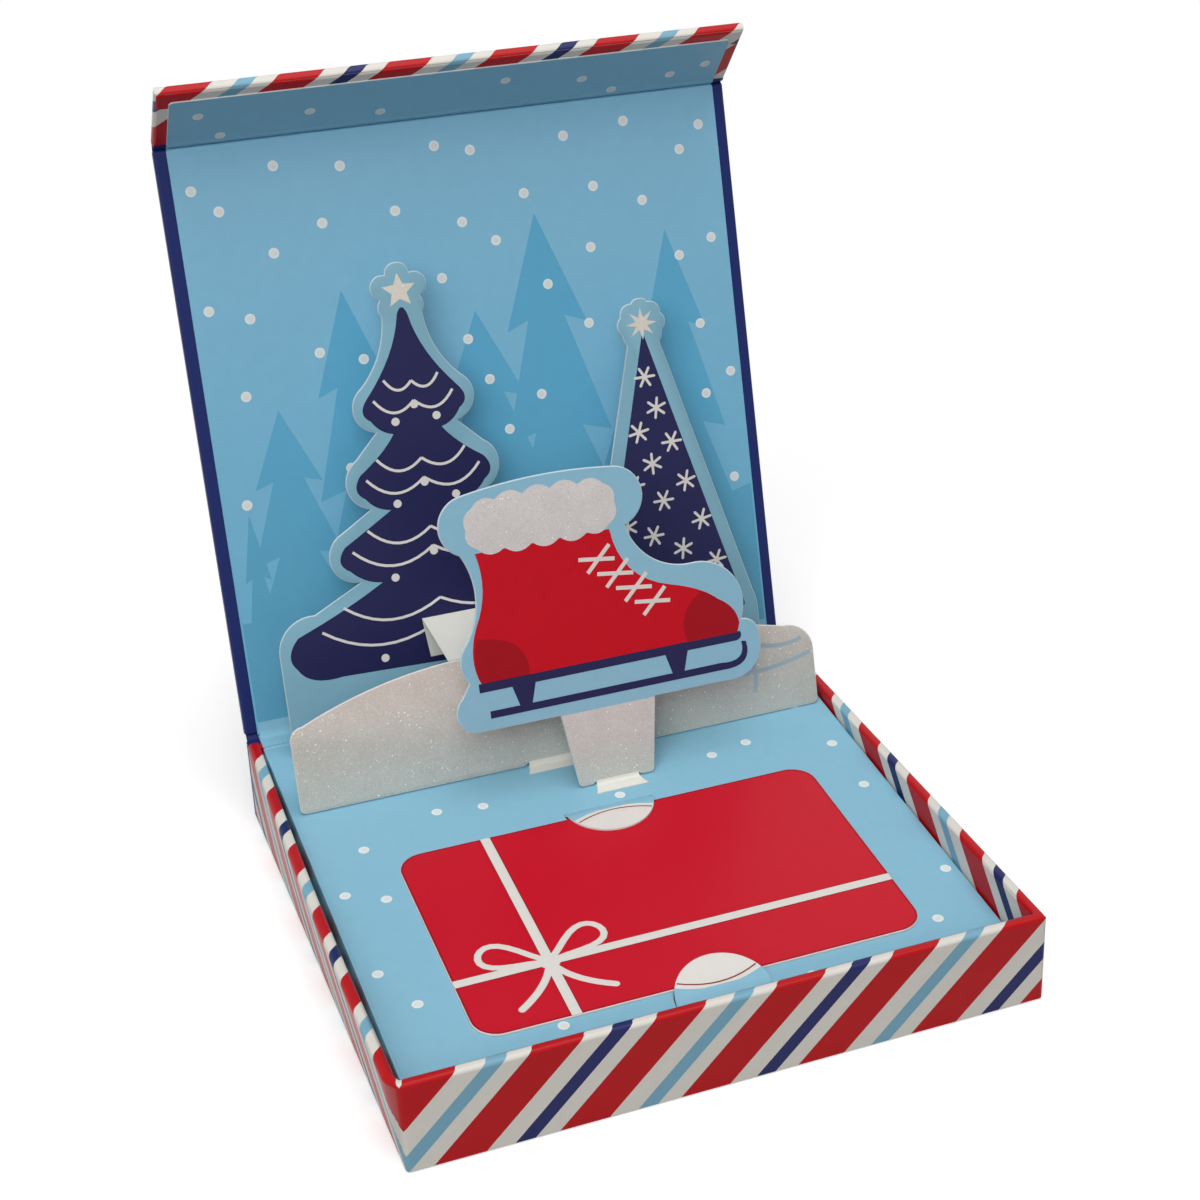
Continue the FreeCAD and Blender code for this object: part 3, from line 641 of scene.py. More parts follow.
def lay_out(piece, place, rule_for):
    """Writes the UV map of the flat sheet, face by face."""
    flat = place.inverted()
    sheet = piece.data.uv_layers.new(name="sheet")
    for face in piece.data.polygons:
        rule = rule_for(flat @ face.center / MM)
        for corner in face.loop_indices:
            point = flat @ piece.data.vertices[piece.data.loops[corner].vertex_index].co
            sheet.data[corner].uv = tuple(v * MM for v in rule(point / MM))


print("tools for wrapped sheets ready")

# %% [markdown]
# The tray's wrap is one sheet of gift wrap, pasted up the walls, over the rim and down inside.
# Paper can't take a sharp corner, so the rim and the upright corners are rounded a little.
# On the right wall the bands are set off by a small shift, as where the sheet is joined.

# %% Tray wrap
HALF, WELL, HEIGHT, RIM = 59.5, 57.25, 18.0, 2.25
RIGHT_WALL_SHIFT = 2.2

tray_wrap = dressed_copy("tray_wrap", "tray_gift_wrap")


def rim_or_corner(a, b):
    for p in (a, b):
        if not (near(abs(p.x), HALF) or near(p.y, -HALF) or near(abs(p.x), WELL) or near(p.y, -WELL)):
            return False
    if near(a.z, HEIGHT) and near(b.z, a.z):
        along_side = near(a.x, b.x) and (near(abs(a.x), HALF) or near(abs(a.x), WELL))
        along_front = near(a.y, b.y) and (near(a.y, -HALF) or near(a.y, -WELL))
        return along_side or along_front
    upright = near(a.x, b.x) and near(a.y, b.y)
    return upright and near(abs(a.x), HALF) and near(a.y, -HALF)


def sheet_of_tray(middle):
    """The rule for a face: where a point of it (mm) lay on the flat sheet."""
    front = middle.y + HALF < HALF - abs(middle.x)
    side = 1 if middle.x > 0 else -1

    def rule(p):
        depth = p.y + HALF if front else HALF - abs(p.x)
        up = 2 * HEIGHT + depth - p.z if depth > RIM / 2 else p.z + depth
        if front:
            return p.x, -up
        return side * (HALF + up) - (RIGHT_WALL_SHIFT if side > 0 else 0.0), p.y + HALF

    return rule


print("rounded edges:", round_edges(tray_wrap, WORLD, rim_or_corner, width=0.8))
for side in (-1, 1):
    cut_faces(tray_wrap, WORLD, side * HALF, -HALF, (side, 1, 0))
lay_out(tray_wrap, WORLD, sheet_of_tray)
print(tray_wrap.name, len(tray_wrap.data.polygons), "faces")

# %% [markdown]
# The left wall of a box like this isn't quite straight. Its rim leans out a little between the
# corners, most of all near the front, so that the folded edge of the inner sheet shows beside it.
# The wrap and the board in it are cut into short lengths first, then moved by the same rule.

# %% Leaning left wall
WALL_LEAN, LEAN_REAR, LEAN_FULL, LEAN_CORNER = 2.1, 57.75, -30.0, 4.2
LEAN_CUTS = (52, 46, 40, 32, 24, 16, 8, 0, -8, -16, -24, -32, -40, -48, -53, -55.3, -56.2, -57, -57.8)


def leaning(p):
    """How far a point of the left wall (mm) moves out."""
    rise = min(1.0, max(0.0, (LEAN_REAR - p.y) / (LEAN_REAR - LEAN_FULL)))
    fall = min(1.0, max(0.0, (p.y + HALF) / LEAN_CORNER))
    return WALL_LEAN * p.z / HEIGHT * math.sin(rise * math.pi / 2) * math.sin(fall * math.pi / 2)


def lean_out(piece):
    for y in LEAN_CUTS:
        cut_faces(piece, WORLD, 0.0, y, (0, 1, 0))
    for vertex in piece.data.vertices:
        point = vertex.co / MM
        if point.x < -WELL + 0.1:
            vertex.co.x -= leaning(point) * MM
    piece.data.update()
    even_light(piece)


lean_out(tray_wrap)
stand_in(tray_wrap, "tray_wrap", striped_paper, "tray")
left_core = dressed_copy("left_wall_board", "left_wall_core")
lean_out(left_core)
stand_in(left_core, "left_wall_board", board_stock, "tray")
print("the left wall leans out by", WALL_LEAN, "mm at most")

# %% [markdown]
# Under the wrap are plain grey boards, two magnets in the front wall and a navy sheet below the base.
# They keep their CAD shape. Only their surfaces are finished here.

# %% Boards, base sheet and magnets
def paint(material, *names):
    for name in names:
        NODES[name].data.materials.clear()
        NODES[name].data.materials.append(material)


paint(board_stock, "base_board", "front_wall_board", "rear_wall_board", "right_wall_board")
paint(board_stock, "spine_board", "lid_board", "flap_board")
paint(navy_paper, "base_paper", "spine_wrap")
paint(magnet_metal, "front_magnets", "flap_magnets")
print("boards, base sheet, spine and magnets painted")

# %% [markdown]
# Outlines are lists of points (x, s) on the flat sheet. Curves are drawn between given points,
# and a line of some width is the outline of a band along its path.

# %% Outlines
def curve(a, pull, b, steps):
    """Points along a curve from a to b that is pulled towards a third point."""
    return [
        tuple((1 - t) ** 2 * p + 2 * t * (1 - t) * c + t * t * q for p, c, q in zip(a, pull, b))
        for t in (i / steps for i in range(steps + 1))
    ]


def bow(a, via, b, steps=10):
    """Points along a curve from a to b that passes via a third point."""
    return curve(a, [2 * v - (p + q) / 2 for v, p, q in zip(via, a, b)], b, steps)


def trace(corners):
    """A closed outline. A corner with four numbers is reached by a curve through the last two."""
    points, last = [], corners[-1][:2]
    for corner in corners:
        if len(corner) == 4:
            points += bow(last, corner[2:], corner[:2], 8)[1:-1]
        points.append(tuple(corner[:2]))
        last = corner[:2]
    return points


def ring(x, s, radius, points=20):
    turns = (2 * math.pi * i / points for i in range(points))
    return [(x + radius * math.cos(a), s + radius * math.sin(a)) for a in turns]


def band(path, width):
    """A line of even width along a path, with blunt ends."""
    left, right_side = [], []
    for index, (x, s) in enumerate(path):
        ahead, behind = path[min(index + 1, len(path) - 1)], path[max(index - 1, 0)]
        dx, ds = ahead[0] - behind[0], ahead[1] - behind[1]
        run = math.hypot(dx, ds)
        left.append((x - ds / run * width / 2, s + dx / run * width / 2))
        right_side.append((x + ds / run * width / 2, s - dx / run * width / 2))
    return left + right_side[::-1]


print("tools for outlines ready")

# %% [markdown]
# A printed shape starts as a circle with as many points as its outline. Its points are moved onto
# the outline, and the face is drawn out by the thickness of the ink.
# It is drawn flat, then stood up by the place of its sheet.

# %% Printed shapes
INK, SINK, HAIR = 0.012, 0.006, 0.0004


def cut_shape(name, outline, low, high):
    """A flat shape from its outline, drawn out from one height to another."""
    area = sum(a[0] * b[1] - b[0] * a[1] for a, b in zip(outline, outline[1:] + outline[:1]))
    if area < 0:
        outline = outline[::-1]
    bpy.ops.object.select_all(action="DESELECT")
    bpy.ops.mesh.primitive_circle_add(vertices=len(outline), radius=MM, fill_type="NGON")
    piece = bpy.context.object
    piece.name = name
    for vertex, (x, s) in zip(piece.data.vertices, outline):
        vertex.co = (x * MM, s * MM, low * MM)
    bpy.ops.object.mode_set(mode="EDIT")
    bpy.ops.mesh.select_all(action="SELECT")
    bpy.ops.mesh.extrude_region_move(TRANSFORM_OT_translate={"value": (0, 0, (high - low) * MM)})
    bpy.ops.mesh.select_all(action="SELECT")
    bpy.ops.mesh.normals_make_consistent(inside=False)
    bpy.ops.mesh.quads_convert_to_tris(ngon_method="BEAUTY")
    bpy.ops.object.mode_set(mode="OBJECT")
    return piece


def stand(piece, place):
    only(piece)
    piece.matrix_world = place
    bpy.ops.object.transform_apply(location=True, rotation=True, scale=True)


def join_and_stand(shapes, place):
    only(*shapes)
    if len(shapes) > 1:
        bpy.ops.object.join()
    piece = bpy.context.object
    stand(piece, place)
    return piece


def print_shapes(name, outlines, place, face, level, material, body):
    """Shapes of one ink on one sheet, as one piece. A higher level lies on the inks below it.
    Shapes that overlap lie a hair above one another."""
    shapes = [
        cut_shape(f"{name}_{i}", outline, face - SINK, face + INK * level + HAIR * i)
        for i, outline in enumerate(outlines)
    ]
    finish_piece(join_and_stand(shapes, place), name, material, body)


print("ink lies", INK, "mm thick")

# %% [markdown]
# The inner sheet is light blue and slopes up to the back, and it carries a scatter of snow dots.
# Each dot is two inks: a pale ring and a pearly middle.

# %% Inner sheet
DOT, PEARL = ring(0, 0, 1.06), ring(0, 0, 0.72)
PLATFORM_SPOTS = [
    (-46.4, 15.2), (-30.0, 21.9), (-21.0, 20.5), (-53.2, 2.9), (-46.3, -0.8), (-53.3, -20.7), (-48.9, -30.9),
    (5.4, 14.3), (27.6, 20.4), (35.8, 22.1), (52.2, 15.4), (52.1, 0.1), (54.7, -30.1), (46.5, -42.8),
    (18.6, -48.7), (-27.0, -45.3), (-52.0, 33.0), (50.5, 31.0), (44.0, 40.0), (-44.5, 44.0),
]


def up_platform(y):
    """How far up the sloping sheet a point lies, from how far back it is."""
    return (y + PLATFORM_HALF) / math.cos(PLATFORM_SLOPE)


def scatter(name, outline, spots, place, face, level, material, body):
    """One shape drawn round the zero point, copied to each spot (x, s) or (x, s, turn in degrees)."""
    first = cut_shape(name, outline, face - SINK, face + INK * level)
    copies = []
    for x, s, *turn in spots:
        only(first)
        bpy.ops.object.duplicate(linked=False)
        copy = bpy.context.object
        turned = Matrix.Rotation(math.radians(sum(turn)), 4, "Z")
        stand(copy, Matrix.Translation((x * MM, s * MM, 0)) @ turned)
        copies.append(copy)
    bpy.data.objects.remove(first)
    finish_piece(join_and_stand(copies, place), name, material, body)


def snow_dots(dots, pearls, spots, place, face, level, body):
    scatter(dots, DOT, spots, place, face, level, dot_ink, body)
    scatter(pearls, PEARL, spots, place, face, level + 1, pearl_ink, body)


paint(blue_paper, "platform")
paint(gutter_paper, "hinge_gutter")
platform_runs = [(x, up_platform(y)) for x, y in PLATFORM_SPOTS]
snow_dots("platform_dots", "platform_pearls", platform_runs, PLATFORM, 0.0, 1, "tray")
print(len(PLATFORM_SPOTS), "dots on the inner sheet")

# %% [markdown]
# Folded paper is a strip: a line in section, drawn out sideways and given the paper's thickness.
# The first strip rounds the left edge of the inner sheet, where it is folded down beside the wall.
# It starts just clear of the card's furthest place.

# %% Folded left edge
STRIP, LIFT = 0.05, 0.03
FOLD_START, FOLD_TURN, FOLD_SIDE, FOLD_DOWN, FOLD_END = 55.97, 56.05, 56.95, -1.1, -4.0
FOLD_HALF, FOLD_MIDDLE = 55.9, 56.25


def bent_strip(name, section, half_width, material, middle=0.0):
    """A strip of paper from the points (y, z) of its section, in millimetres."""
    bpy.ops.object.select_all(action="DESELECT")
    bpy.ops.mesh.primitive_grid_add(x_subdivisions=1, y_subdivisions=len(section) - 1, size=MM)
    piece = bpy.context.object
    for vertex in piece.data.vertices:
        row = round((vertex.co.y / MM + 0.5) * (len(section) - 1))
        y, z = section[row]
        vertex.co = (middle * MM + math.copysign(half_width * MM, vertex.co.x), y * MM, z * MM)
    only(piece)
    solid = piece.modifiers.new("paper", "SOLIDIFY")
    solid.thickness = STRIP * MM
    solid.offset = 0.0
    bpy.ops.object.modifier_apply(modifier=solid.name)
    bpy.ops.object.mode_set(mode="EDIT")
    bpy.ops.mesh.select_all(action="SELECT")
    bpy.ops.mesh.normals_make_consistent(inside=False)
    bpy.ops.object.mode_set(mode="OBJECT")
    bpy.ops.object.shade_smooth_by_angle(angle=math.radians(50))
    piece.name = name
    piece.data.name = name
    piece.data.materials.append(material)
    return piece


turned_down = curve((FOLD_TURN, LIFT), (FOLD_SIDE, LIFT), (FOLD_SIDE, FOLD_DOWN), 8)
side_section = [(FOLD_START, LIFT)] + turned_down + [(FOLD_SIDE, FOLD_END)]
side_fold = bent_strip("inner_sheet_fold", side_section, FOLD_HALF, gutter_paper, FOLD_MIDDLE)
stand(side_fold, PLATFORM @ Matrix.Rotation(math.pi / 2, 4, "Z"))
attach(side_fold, "tray")
print("folded edge with", len(side_section), "points in its section")

# %% [markdown]
# Two half-moons are cut from the inner sheet and lifted over the card, the front one a little further.
# Each has a white tip behind a thin red arc, and a strip of paper at the crease where it rises.

# %% Half-moon tabs
MOON_X, MOON_RADIUS, MOON_TOP = 2.0, 9.06, 0.85
MOON_ROOTS = {"front": (8.47, 1), "rear": (69.06, -1)}
MOON_RAMP, MOON_SAG = 1.6, 1.8
MOON_LIFT = {"front": 12.0, "rear": 0.0}
MOON_RISE = [(-0.7, 0.03), (-0.2, 0.03), (0.1, 0.04), (0.5, 0.25), (1.2, 0.66), (1.7, 0.88)]
CREASE_HALF, CREASE_RUN = 8.75, 2.2
TIP_ENDS, ARC_ENDS, ARC_INSET, ARC_WIDTH = 3.75, 4.6, 0.25, 0.3


def moon_arc(way, ends, inset=0.0):
    """A curve across a half-moon, bowed towards its root. Zero is at the top of the ramp."""
    reach = math.sqrt(MOON_RADIUS ** 2 - ends ** 2) - inset
    spots = ((-reach, ends), (0, ends - MOON_SAG), (reach, ends))
    return bow(*[(MOON_X + x, way * (s - MOON_RAMP)) for x, s in spots])


def moon_tip(way, ends):
    """The part of a half-moon beyond such a curve."""
    start = math.asin(ends / MOON_RADIUS)
    rim = [
        (MOON_X + MOON_RADIUS * math.cos(a), way * (MOON_RADIUS * math.sin(a) - MOON_RAMP))
        for a in (start + (math.pi - 2 * start) * i / 24 for i in range(25))
    ]
    return rim + moon_arc(way, ends)[1:-1]


def on_sheet(place, s, out):
    """A point some way up a sheet and out from its face, as (y, z) seen from the side."""
    point = place @ Vector((0, s * MM, out * MM)) / MM
    return point.y, point.z


paint(tab_paper, "rear_card_tab")
for side, (root, way) in MOON_ROOTS.items():
    lift = math.radians(MOON_LIFT[side])
    ramp = MOON_RISE + [(CREASE_RUN, MOON_RISE[-1][1] + (CREASE_RUN - MOON_RAMP) * math.tan(lift))]
    section = [on_sheet(PLATFORM, root + way * s, out) for s, out in ramp]
    crease = bent_strip(f"{side}_tab_crease", section, CREASE_HALF, gutter_paper, MOON_X)
    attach(crease, "tray")
    head = Matrix.Translation((0, (root + way * MOON_RAMP) * MM, MOON_TOP * MM))
    tab_place = PLATFORM @ head @ Matrix.Rotation(way * lift, 4, "X")
    if lift:
        lifted = dressed_copy(f"{side}_card_tab", f"{side}_half_moon")
        down = head.inverted() @ PLATFORM.inverted()
        for vertex in lifted.data.vertices:
            on_tab = down @ vertex.co
            if way * on_tab.y > -0.05 * MM:
                vertex.co = tab_place @ on_tab
        stand_in(lifted, f"{side}_card_tab", tab_paper, "tray")
    tip = moon_tip(way, TIP_ENDS)
    print_shapes(f"{side}_tab_tip", [tip], tab_place, 0.0, 1, white_ink, "tray")
    line = band(moon_arc(way, ARC_ENDS, ARC_INSET), ARC_WIDTH)
    print_shapes(f"{side}_tab_arc", [line], tab_place, 0.0, 2, line_ink, "tray")
print(len(MOON_ROOTS), "half-moon tabs")

# %% [markdown]
# The card is the size of every bank card. It is red and glossy, with a white cut edge.
# A white ribbon is printed across it both ways, with a thin dark edge, and a line runs round the card.

# %% Gift card
CARD_TOP = 0.45
CARD_X, CARD_RUN, CARD_W, CARD_D = 0.9, 39.85, 85.6, 54.0
KNOT = (-24.0, 28.0)
BORDER_WIDTH, BORDER_GAP = 0.26, 0.02


def top_edge(height):
    """A test for edges that lie at one height above the place of their sheet."""
    return lambda a, b: near(a.z, height) and near(b.z, height)


def print_on_card(name, outlines, level, material):
    print_shapes(name, outlines, PLATFORM, CARD_TOP, level, material, "card")


def ribbon(margin, width):
    """Two bands that cross at the knot and stop just short of the card's edges."""
    x, s = KNOT
    wide, deep = CARD_W / 2 - margin, CARD_D / 2 - margin
    return [
        band([(x, CARD_RUN - deep), (x, CARD_RUN + deep)], width),
        band([(CARD_X - wide, s), (CARD_X + wide, s)], width),
    ]


def rounded_border(inset, corner):
    """A path just inside the edge of the card, round its four corners."""
    wide, deep = CARD_W / 2 - inset - corner, CARD_D / 2 - inset - corner
    middles = [(wide, deep), (-wide, deep), (-wide, -deep), (wide, -deep)]
    return [
        (CARD_X + x + corner * math.cos(a), CARD_RUN + y + corner * math.sin(a))
        for quarter, (x, y) in enumerate(middles)
        for a in (math.pi / 2 * (quarter + step / 8) for step in range(9))
    ]


card = dressed_copy("gift_card", "red_gift_card")
print("rounded edges:", round_edges(card, PLATFORM, top_edge(CARD_TOP), width=0.14, segments=2))
even_light(card)
stand_in(card, "gift_card", card_face, "card")
print_on_card("card_ribbon_edges", ribbon(margin=0.2, width=2.25), 1, card_line_ink)
print_on_card("card_ribbon", ribbon(margin=0.15, width=1.9), 2, white_ink)
border = rounded_border(inset=0.34, corner=4.66)
almost_closed = border + [(border[0][0], border[0][1] - BORDER_GAP)]
print_on_card("card_border", [band(almost_closed, BORDER_WIDTH)], 1, card_line_ink)
print("card with ribbon")

# %% [markdown]
# The ribbon is tied in a plain bow: two hollow loops, two tails with round ends, and a knot.
# A loop is a line of even width that leaves the knot and comes back to it.

# %% Bow on the card
LOOPS, LOOP_LENGTH, LOOP_WIDTH, LOOP_LINE = (28, 152), 13.0, 6.0, 1.3
TAILS = (((-27.0, 22.5), (-32.5, 17.5)), ((-21.0, 22.5), (-15.0, 18.0)))
TAIL_LINE, KNOT_RADIUS = 1.4, 2.0


def loop_of_bow(angle):
    c, s = math.cos(math.radians(angle)), math.sin(math.radians(angle))
    path = []
    for t in (i / 16 for i in range(17)):
        along = LOOP_LENGTH * math.sin(math.pi * t) ** 0.8
        aside = LOOP_WIDTH * math.sin(2 * math.pi * t) * 0.5
        path.append((KNOT[0] + along * c - aside * s, KNOT[1] + along * s + aside * c))
    return band(path, LOOP_LINE)


bow_shapes = [loop_of_bow(angle) for angle in LOOPS]
bow_shapes += [band(bow(KNOT, via, end), TAIL_LINE) for via, end in TAILS]
bow_shapes.append(ring(*KNOT, KNOT_RADIUS))
bow_shapes += [ring(*end, TAIL_LINE / 2) for _, end in TAILS]
print_on_card("card_bow", bow_shapes, 3, white_ink)
print("bow of", len(bow_shapes), "shapes")

# %% [markdown]
# The lid is a board wrapped in navy paper, which shows as a narrow margin round the liner.
# The liner is sky blue with fir trees a little darker than the sky, and falling snow.

# %% Lid
FIRS = [
    (-43, 4, 66, 27, 4), (-27, 4, 88, 30, 4), (0, 4, 80, 34, 4), (15, 4, 98, 34, 4), (32, 4, 62, 30, 3),
    (43, 4, 91, 27, 4), (-52, 4, 46, 9.5, 3),
]
FOREST_FLOOR = [(-56.6, 3.0), (56.6, 3.0), (56.6, 34.0), (-8.0, 40.0, 22.0, 30.0), (-56.6, 24.0, -34.0, 27.0)]
LINER_SPOTS = [
    (-53.5, 111.0), (-48.7, 106.5), (-36.9, 114.0), (-23.7, 112.4), (-28.8, 101.7), (-39.2, 97.1),
    (-13.8, 102.2), (-4.1, 114.0), (3.2, 112.3), (13.4, 102.3), (23.2, 112.8), (28.4, 101.9),
    (36.5, 114.3), (38.8, 97.7), (48.2, 107.1), (53.0, 111.7), (-0.3, 98.2), (6.3, 93.6), (-6.0, 87.5),
    (16.2, 83.2), (26.4, 89.5), (45.7, 85.2), (53.3, 88.0), (48.8, 70.2), (24.1, 73.9), (-2.2, 74.4),
    (1.3, 65.5), (12.0, 60.7), (54.6, 59.0), (48.5, 55.1), (4.2, 54.5), (-45.8, 84.9), (-53.6, 87.5),
    (-33.0, 76.2), (-24.3, 73.6), (-48.9, 69.7), (-52.0, 48.0), (53.0, 36.0), (-30.0, 52.0), (9.0, 38.0),
]
FIR_TOP, FIR_NOTCH, FIR_STEP = 0.35, 0.45, 0.02


def lid_side(a, b):
    return near(a.x, b.x) and near(a.z, b.z) and near(abs(a.x), HALF) and not near(a.y, b.y)


def mirrored(half, axis):
    """Both sides of a shape from the outline of its right half, top first."""
    side = trace(half)
    return [(axis + d, s) for d, s in side] + [(axis - d, s) for d, s in reversed(side) if d > 0.01]


def fir(x, base, tip, width, tiers):
    """A plain fir with saw-tooth sides."""
    half = [(0.0, tip)]
    for tier in range(tiers):
        low = tip - (tip - base) * (tier + 1) / tiers
        reach = width / 2 * (FIR_TOP + (1 - FIR_TOP) * (tier + 1) / tiers)
        half.append((reach, low))
        if tier < tiers - 1:
            half.append((reach * FIR_NOTCH, low + (tip - base) * FIR_STEP))
    return mirrored(half, x)


lid_wrap = dressed_copy("lid_wrap", "lid_navy_wrap")
print("rounded edges:", round_edges(lid_wrap, LID, lid_side, width=0.55))
even_light(lid_wrap)
stand_in(lid_wrap, "lid_wrap", navy_paper, "lid")
paint(liner_paper, "lid_liner")
forest = [fir(*tree) for tree in FIRS] + [trace(FOREST_FLOOR)]
print_shapes("liner_firs", forest, LID, 0.0, 1, fir_ink, "lid")
snow_dots("liner_snow", "liner_pearls", LINER_SPOTS, LID, 0.0, 2, "lid")
print(len(FIRS), "firs and", len(LINER_SPOTS), "dots on the liner")

# %% [markdown]
# The flap closes over the front wall and is wrapped in the same striped paper as the tray.
# Its free edge is well rounded. The stripes run over that edge and down to a seam on the outside,
# and each side edge carries them round from the outer face. The flap is wrapped from a blank of its
# own, so its bands lie a little closer together and each face has a shift.

# %% Flap wrap
FLAP_END, FLAP_BACK, FLAP_FRONT = 18.4, -1.9, 0.35
FLAP_SEAM, FLAP_SQUEEZE, FLAP_ROUND, FLAP_SIDE = 13.8, 1.0215, 0.8, 0.3
FLAP_SHIFTS = {-1: 3.1, 0: 1.7, 1: 4.3}
flap_wrap = dressed_copy("flap_wrap", "flap_gift_wrap")


def flap_rim(a, b):
    if not near(a.z, b.z) or not (near(a.z, FLAP_BACK) or near(a.z, FLAP_FRONT)):
        return False
    along_side = near(a.x, b.x) and near(abs(a.x), HALF)
    along_end = near(a.y, b.y) and near(a.y, FLAP_END)
    return along_side or along_end


def sheet_of_flap(middle):
    """The rule for a face: where a point of it (mm) lay on the flat sheet."""
    inset = HALF - abs(middle.x)
    at_side = inset < FLAP_END - middle.y and (middle.y < FLAP_SEAM or inset < FLAP_SIDE)
    front = middle.z > (FLAP_FRONT + FLAP_BACK) / 2
    side = 1 if middle.x > 0 else -1
    thick = FLAP_FRONT - FLAP_BACK

    def rule(p):
        if at_side and (front or inset < FLAP_ROUND):
            folded = p.z - FLAP_BACK + (HALF - abs(p.x) if front else abs(p.x) - HALF)
            return side * (HALF + folded) + FLAP_SHIFTS[side], p.y - 2 * FLAP_END - thick
        along = p.x * FLAP_SQUEEZE + FLAP_SHIFTS[0]
        if front:
            return along, p.z - FLAP_FRONT - p.y
        return along, p.y + p.z - FLAP_FRONT - 2 * FLAP_END

    return rule


print("rounded edges:", round_edges(flap_wrap, FLAP, flap_rim, width=0.7))
for side in (-1, 1):
    cut_faces(flap_wrap, FLAP, side * HALF, FLAP_END, (side, -1, 0))
cut_faces(flap_wrap, FLAP, 0, FLAP_SEAM, (0, 1, 0))
even_light(flap_wrap)
lay_out(flap_wrap, FLAP, sheet_of_flap)
stand_in(flap_wrap, "flap_wrap", striped_paper, "flap")
print(flap_wrap.name, len(flap_wrap.data.polygons), "faces")

# %% [markdown]
# The flap's liner stops short of the free edge and has rounded corners. It carries a few snow dots.

# %% Flap liner
FLAP_FACE, LINER_HALF, LINER_END = 0.6, 56.9, 15.8
FLAP_SPOTS = [
    (-51.2, 10.3), (-46.6, 3.0), (-29.3, 7.7), (-14.9, 4.7), (10.0, 10.5), (26.6, 7.9), (34.0, 2.8),
    (46.2, 5.8), (53.4, 8.2),
]
flap_liner = dressed_copy("flap_liner", "flap_blue_liner")


def liner_corner(a, b):
    return near(a.x, b.x) and near(a.y, b.y) and near(abs(a.x), LINER_HALF) and near(a.y, LINER_END)


print("rounded corners:", round_edges(flap_liner, FLAP, liner_corner, width=0.9))
print("rounded edges:", round_edges(flap_liner, FLAP, top_edge(FLAP_FACE), width=0.1, segments=2))
stand_in(flap_liner, "flap_liner", flap_liner_paper, "flap")
snow_dots("flap_snow", "flap_pearls", FLAP_SPOTS, FLAP, FLAP_FACE, 1, "flap")
print(len(FLAP_SPOTS), "dots on the flap")

# %% [markdown]
# The tree layer is one die-cut card with two trees. A light-blue halo is left round each navy tree.
# The cutting rule leaves the printed edge rolled over a little, here and on the other layers.

# %% Trees
PANEL_FACE = 0.175
LEFT_TREE, RIGHT_TREE = -17.4, 32.4
TIERS = [
    (0.0, 86.7), (0.6, 86.3, 0.35, 86.6), (1.1, 85.2, 0.9, 85.8), (9.4, 69.6, 3.9, 77.4),
    (9.2, 65.0, 10.6, 67.0), (5.0, 61.8, 7.4, 62.9), (12.8, 54.6, 8.2, 58.2), (12.4, 49.6, 14.0, 51.8),
    (7.6, 46.6, 10.4, 47.6), (18.0, 40.6, 12.4, 43.8), (17.6, 35.6, 19.3, 37.8), (11.4, 32.2, 14.8, 33.3),
    (30.0, 24.0, 20.0, 28.0), (31.0, 17.6, 32.0, 20.6), (22.0, 14.4, 27.8, 14.8), (0.0, 13.6),
]
CONE = [(0.0, 74.6), (16.2, 14.0, 8.1, 44.0), (15.2, 12.4, 16.3, 12.6), (0.0, 12.0)]


def rolled_card(node, name, place, material, body, corners=()):
    """A die-cut card with a rolled edge. The corners of its foot, given by their x, are rounded first."""
    piece = dressed_copy(node, name)

    def foot_corner(a, b):
        return near(a.x, b.x) and near(a.y, b.y) and any(near(a.x, x) for x in corners)

    if corners:
        print("rounded corners:", round_edges(piece, place, foot_corner, width=0.8))
    print("rolled edges:", round_edges(piece, place, top_edge(PANEL_FACE), width=0.2, segments=2))
    stand_in(piece, node, material, body)


def print_on_trees(name, outlines, level, material):
    print_shapes(name, outlines, TREES, PANEL_FACE, level, material, "tree_layer")


rolled_card("tree_panel", "tree_card", TREES, halo_paper, "tree_layer")
print_on_trees("navy_trees", [mirrored(TIERS, LEFT_TREE), mirrored(CONE, RIGHT_TREE)], 1, navy_ink)
print("two trees on one card")

# %% [markdown]
# The left tree is hung with swags and baubles, tier by tier. The right one is a plain cone with
# snowflakes. A snowflake is drawn once and copied, turned a little each time.

# %% Ornaments of the trees
GARLANDS = [
    (5.6, 72.8, 2.4), (8.2, 69.0, 3.0), (9.2, 57.2, 3.0), (11.8, 53.4, 3.6), (13.0, 43.2, 3.6),
    (16.6, 39.4, 4.2), (20.0, 28.4, 4.2), (25.0, 24.2, 4.8),
]
SWAG_LOW, SWAG_MEET, SWAG_LINE = 0.52, 0.35, 0.55
BAUBLES, BAUBLE_RADIUS, WIDE_TIER = ((SWAG_LOW, 1.6), (0.0, 0.62)), 0.85, 20
FLAKES = [
    (31.8, 65.0, 0), (33.6, 58.2, 20), (29.2, 53.6, 10), (36.2, 50.6, 0), (31.4, 46.6, 30),
    (27.0, 42.4, 5), (38.4, 41.8, 15), (33.0, 38.4, 0), (24.4, 34.0, 25), (41.0, 33.0, 10),
    (30.0, 31.2, 0), (36.2, 27.4, 20), (22.6, 25.6, 0), (43.4, 23.6, 5), (29.0, 22.0, 15),
]
FLAKE_ARM = ((0.5, -0.28), (2.15, -0.28), (2.42, 0.0), (2.15, 0.28), (0.5, 0.28))


def swag(half, s, dip):
    """A garland across a tier, hanging in two curves that meet at the middle."""
    middle = (LEFT_TREE, s - dip * SWAG_MEET)
    lines = []
    for side in (-1, 1):
        end, low = (LEFT_TREE + side * half, s), (LEFT_TREE + side * half * SWAG_LOW, s - dip)
        lines.append(band(bow(end, low, middle), SWAG_LINE))
    return lines


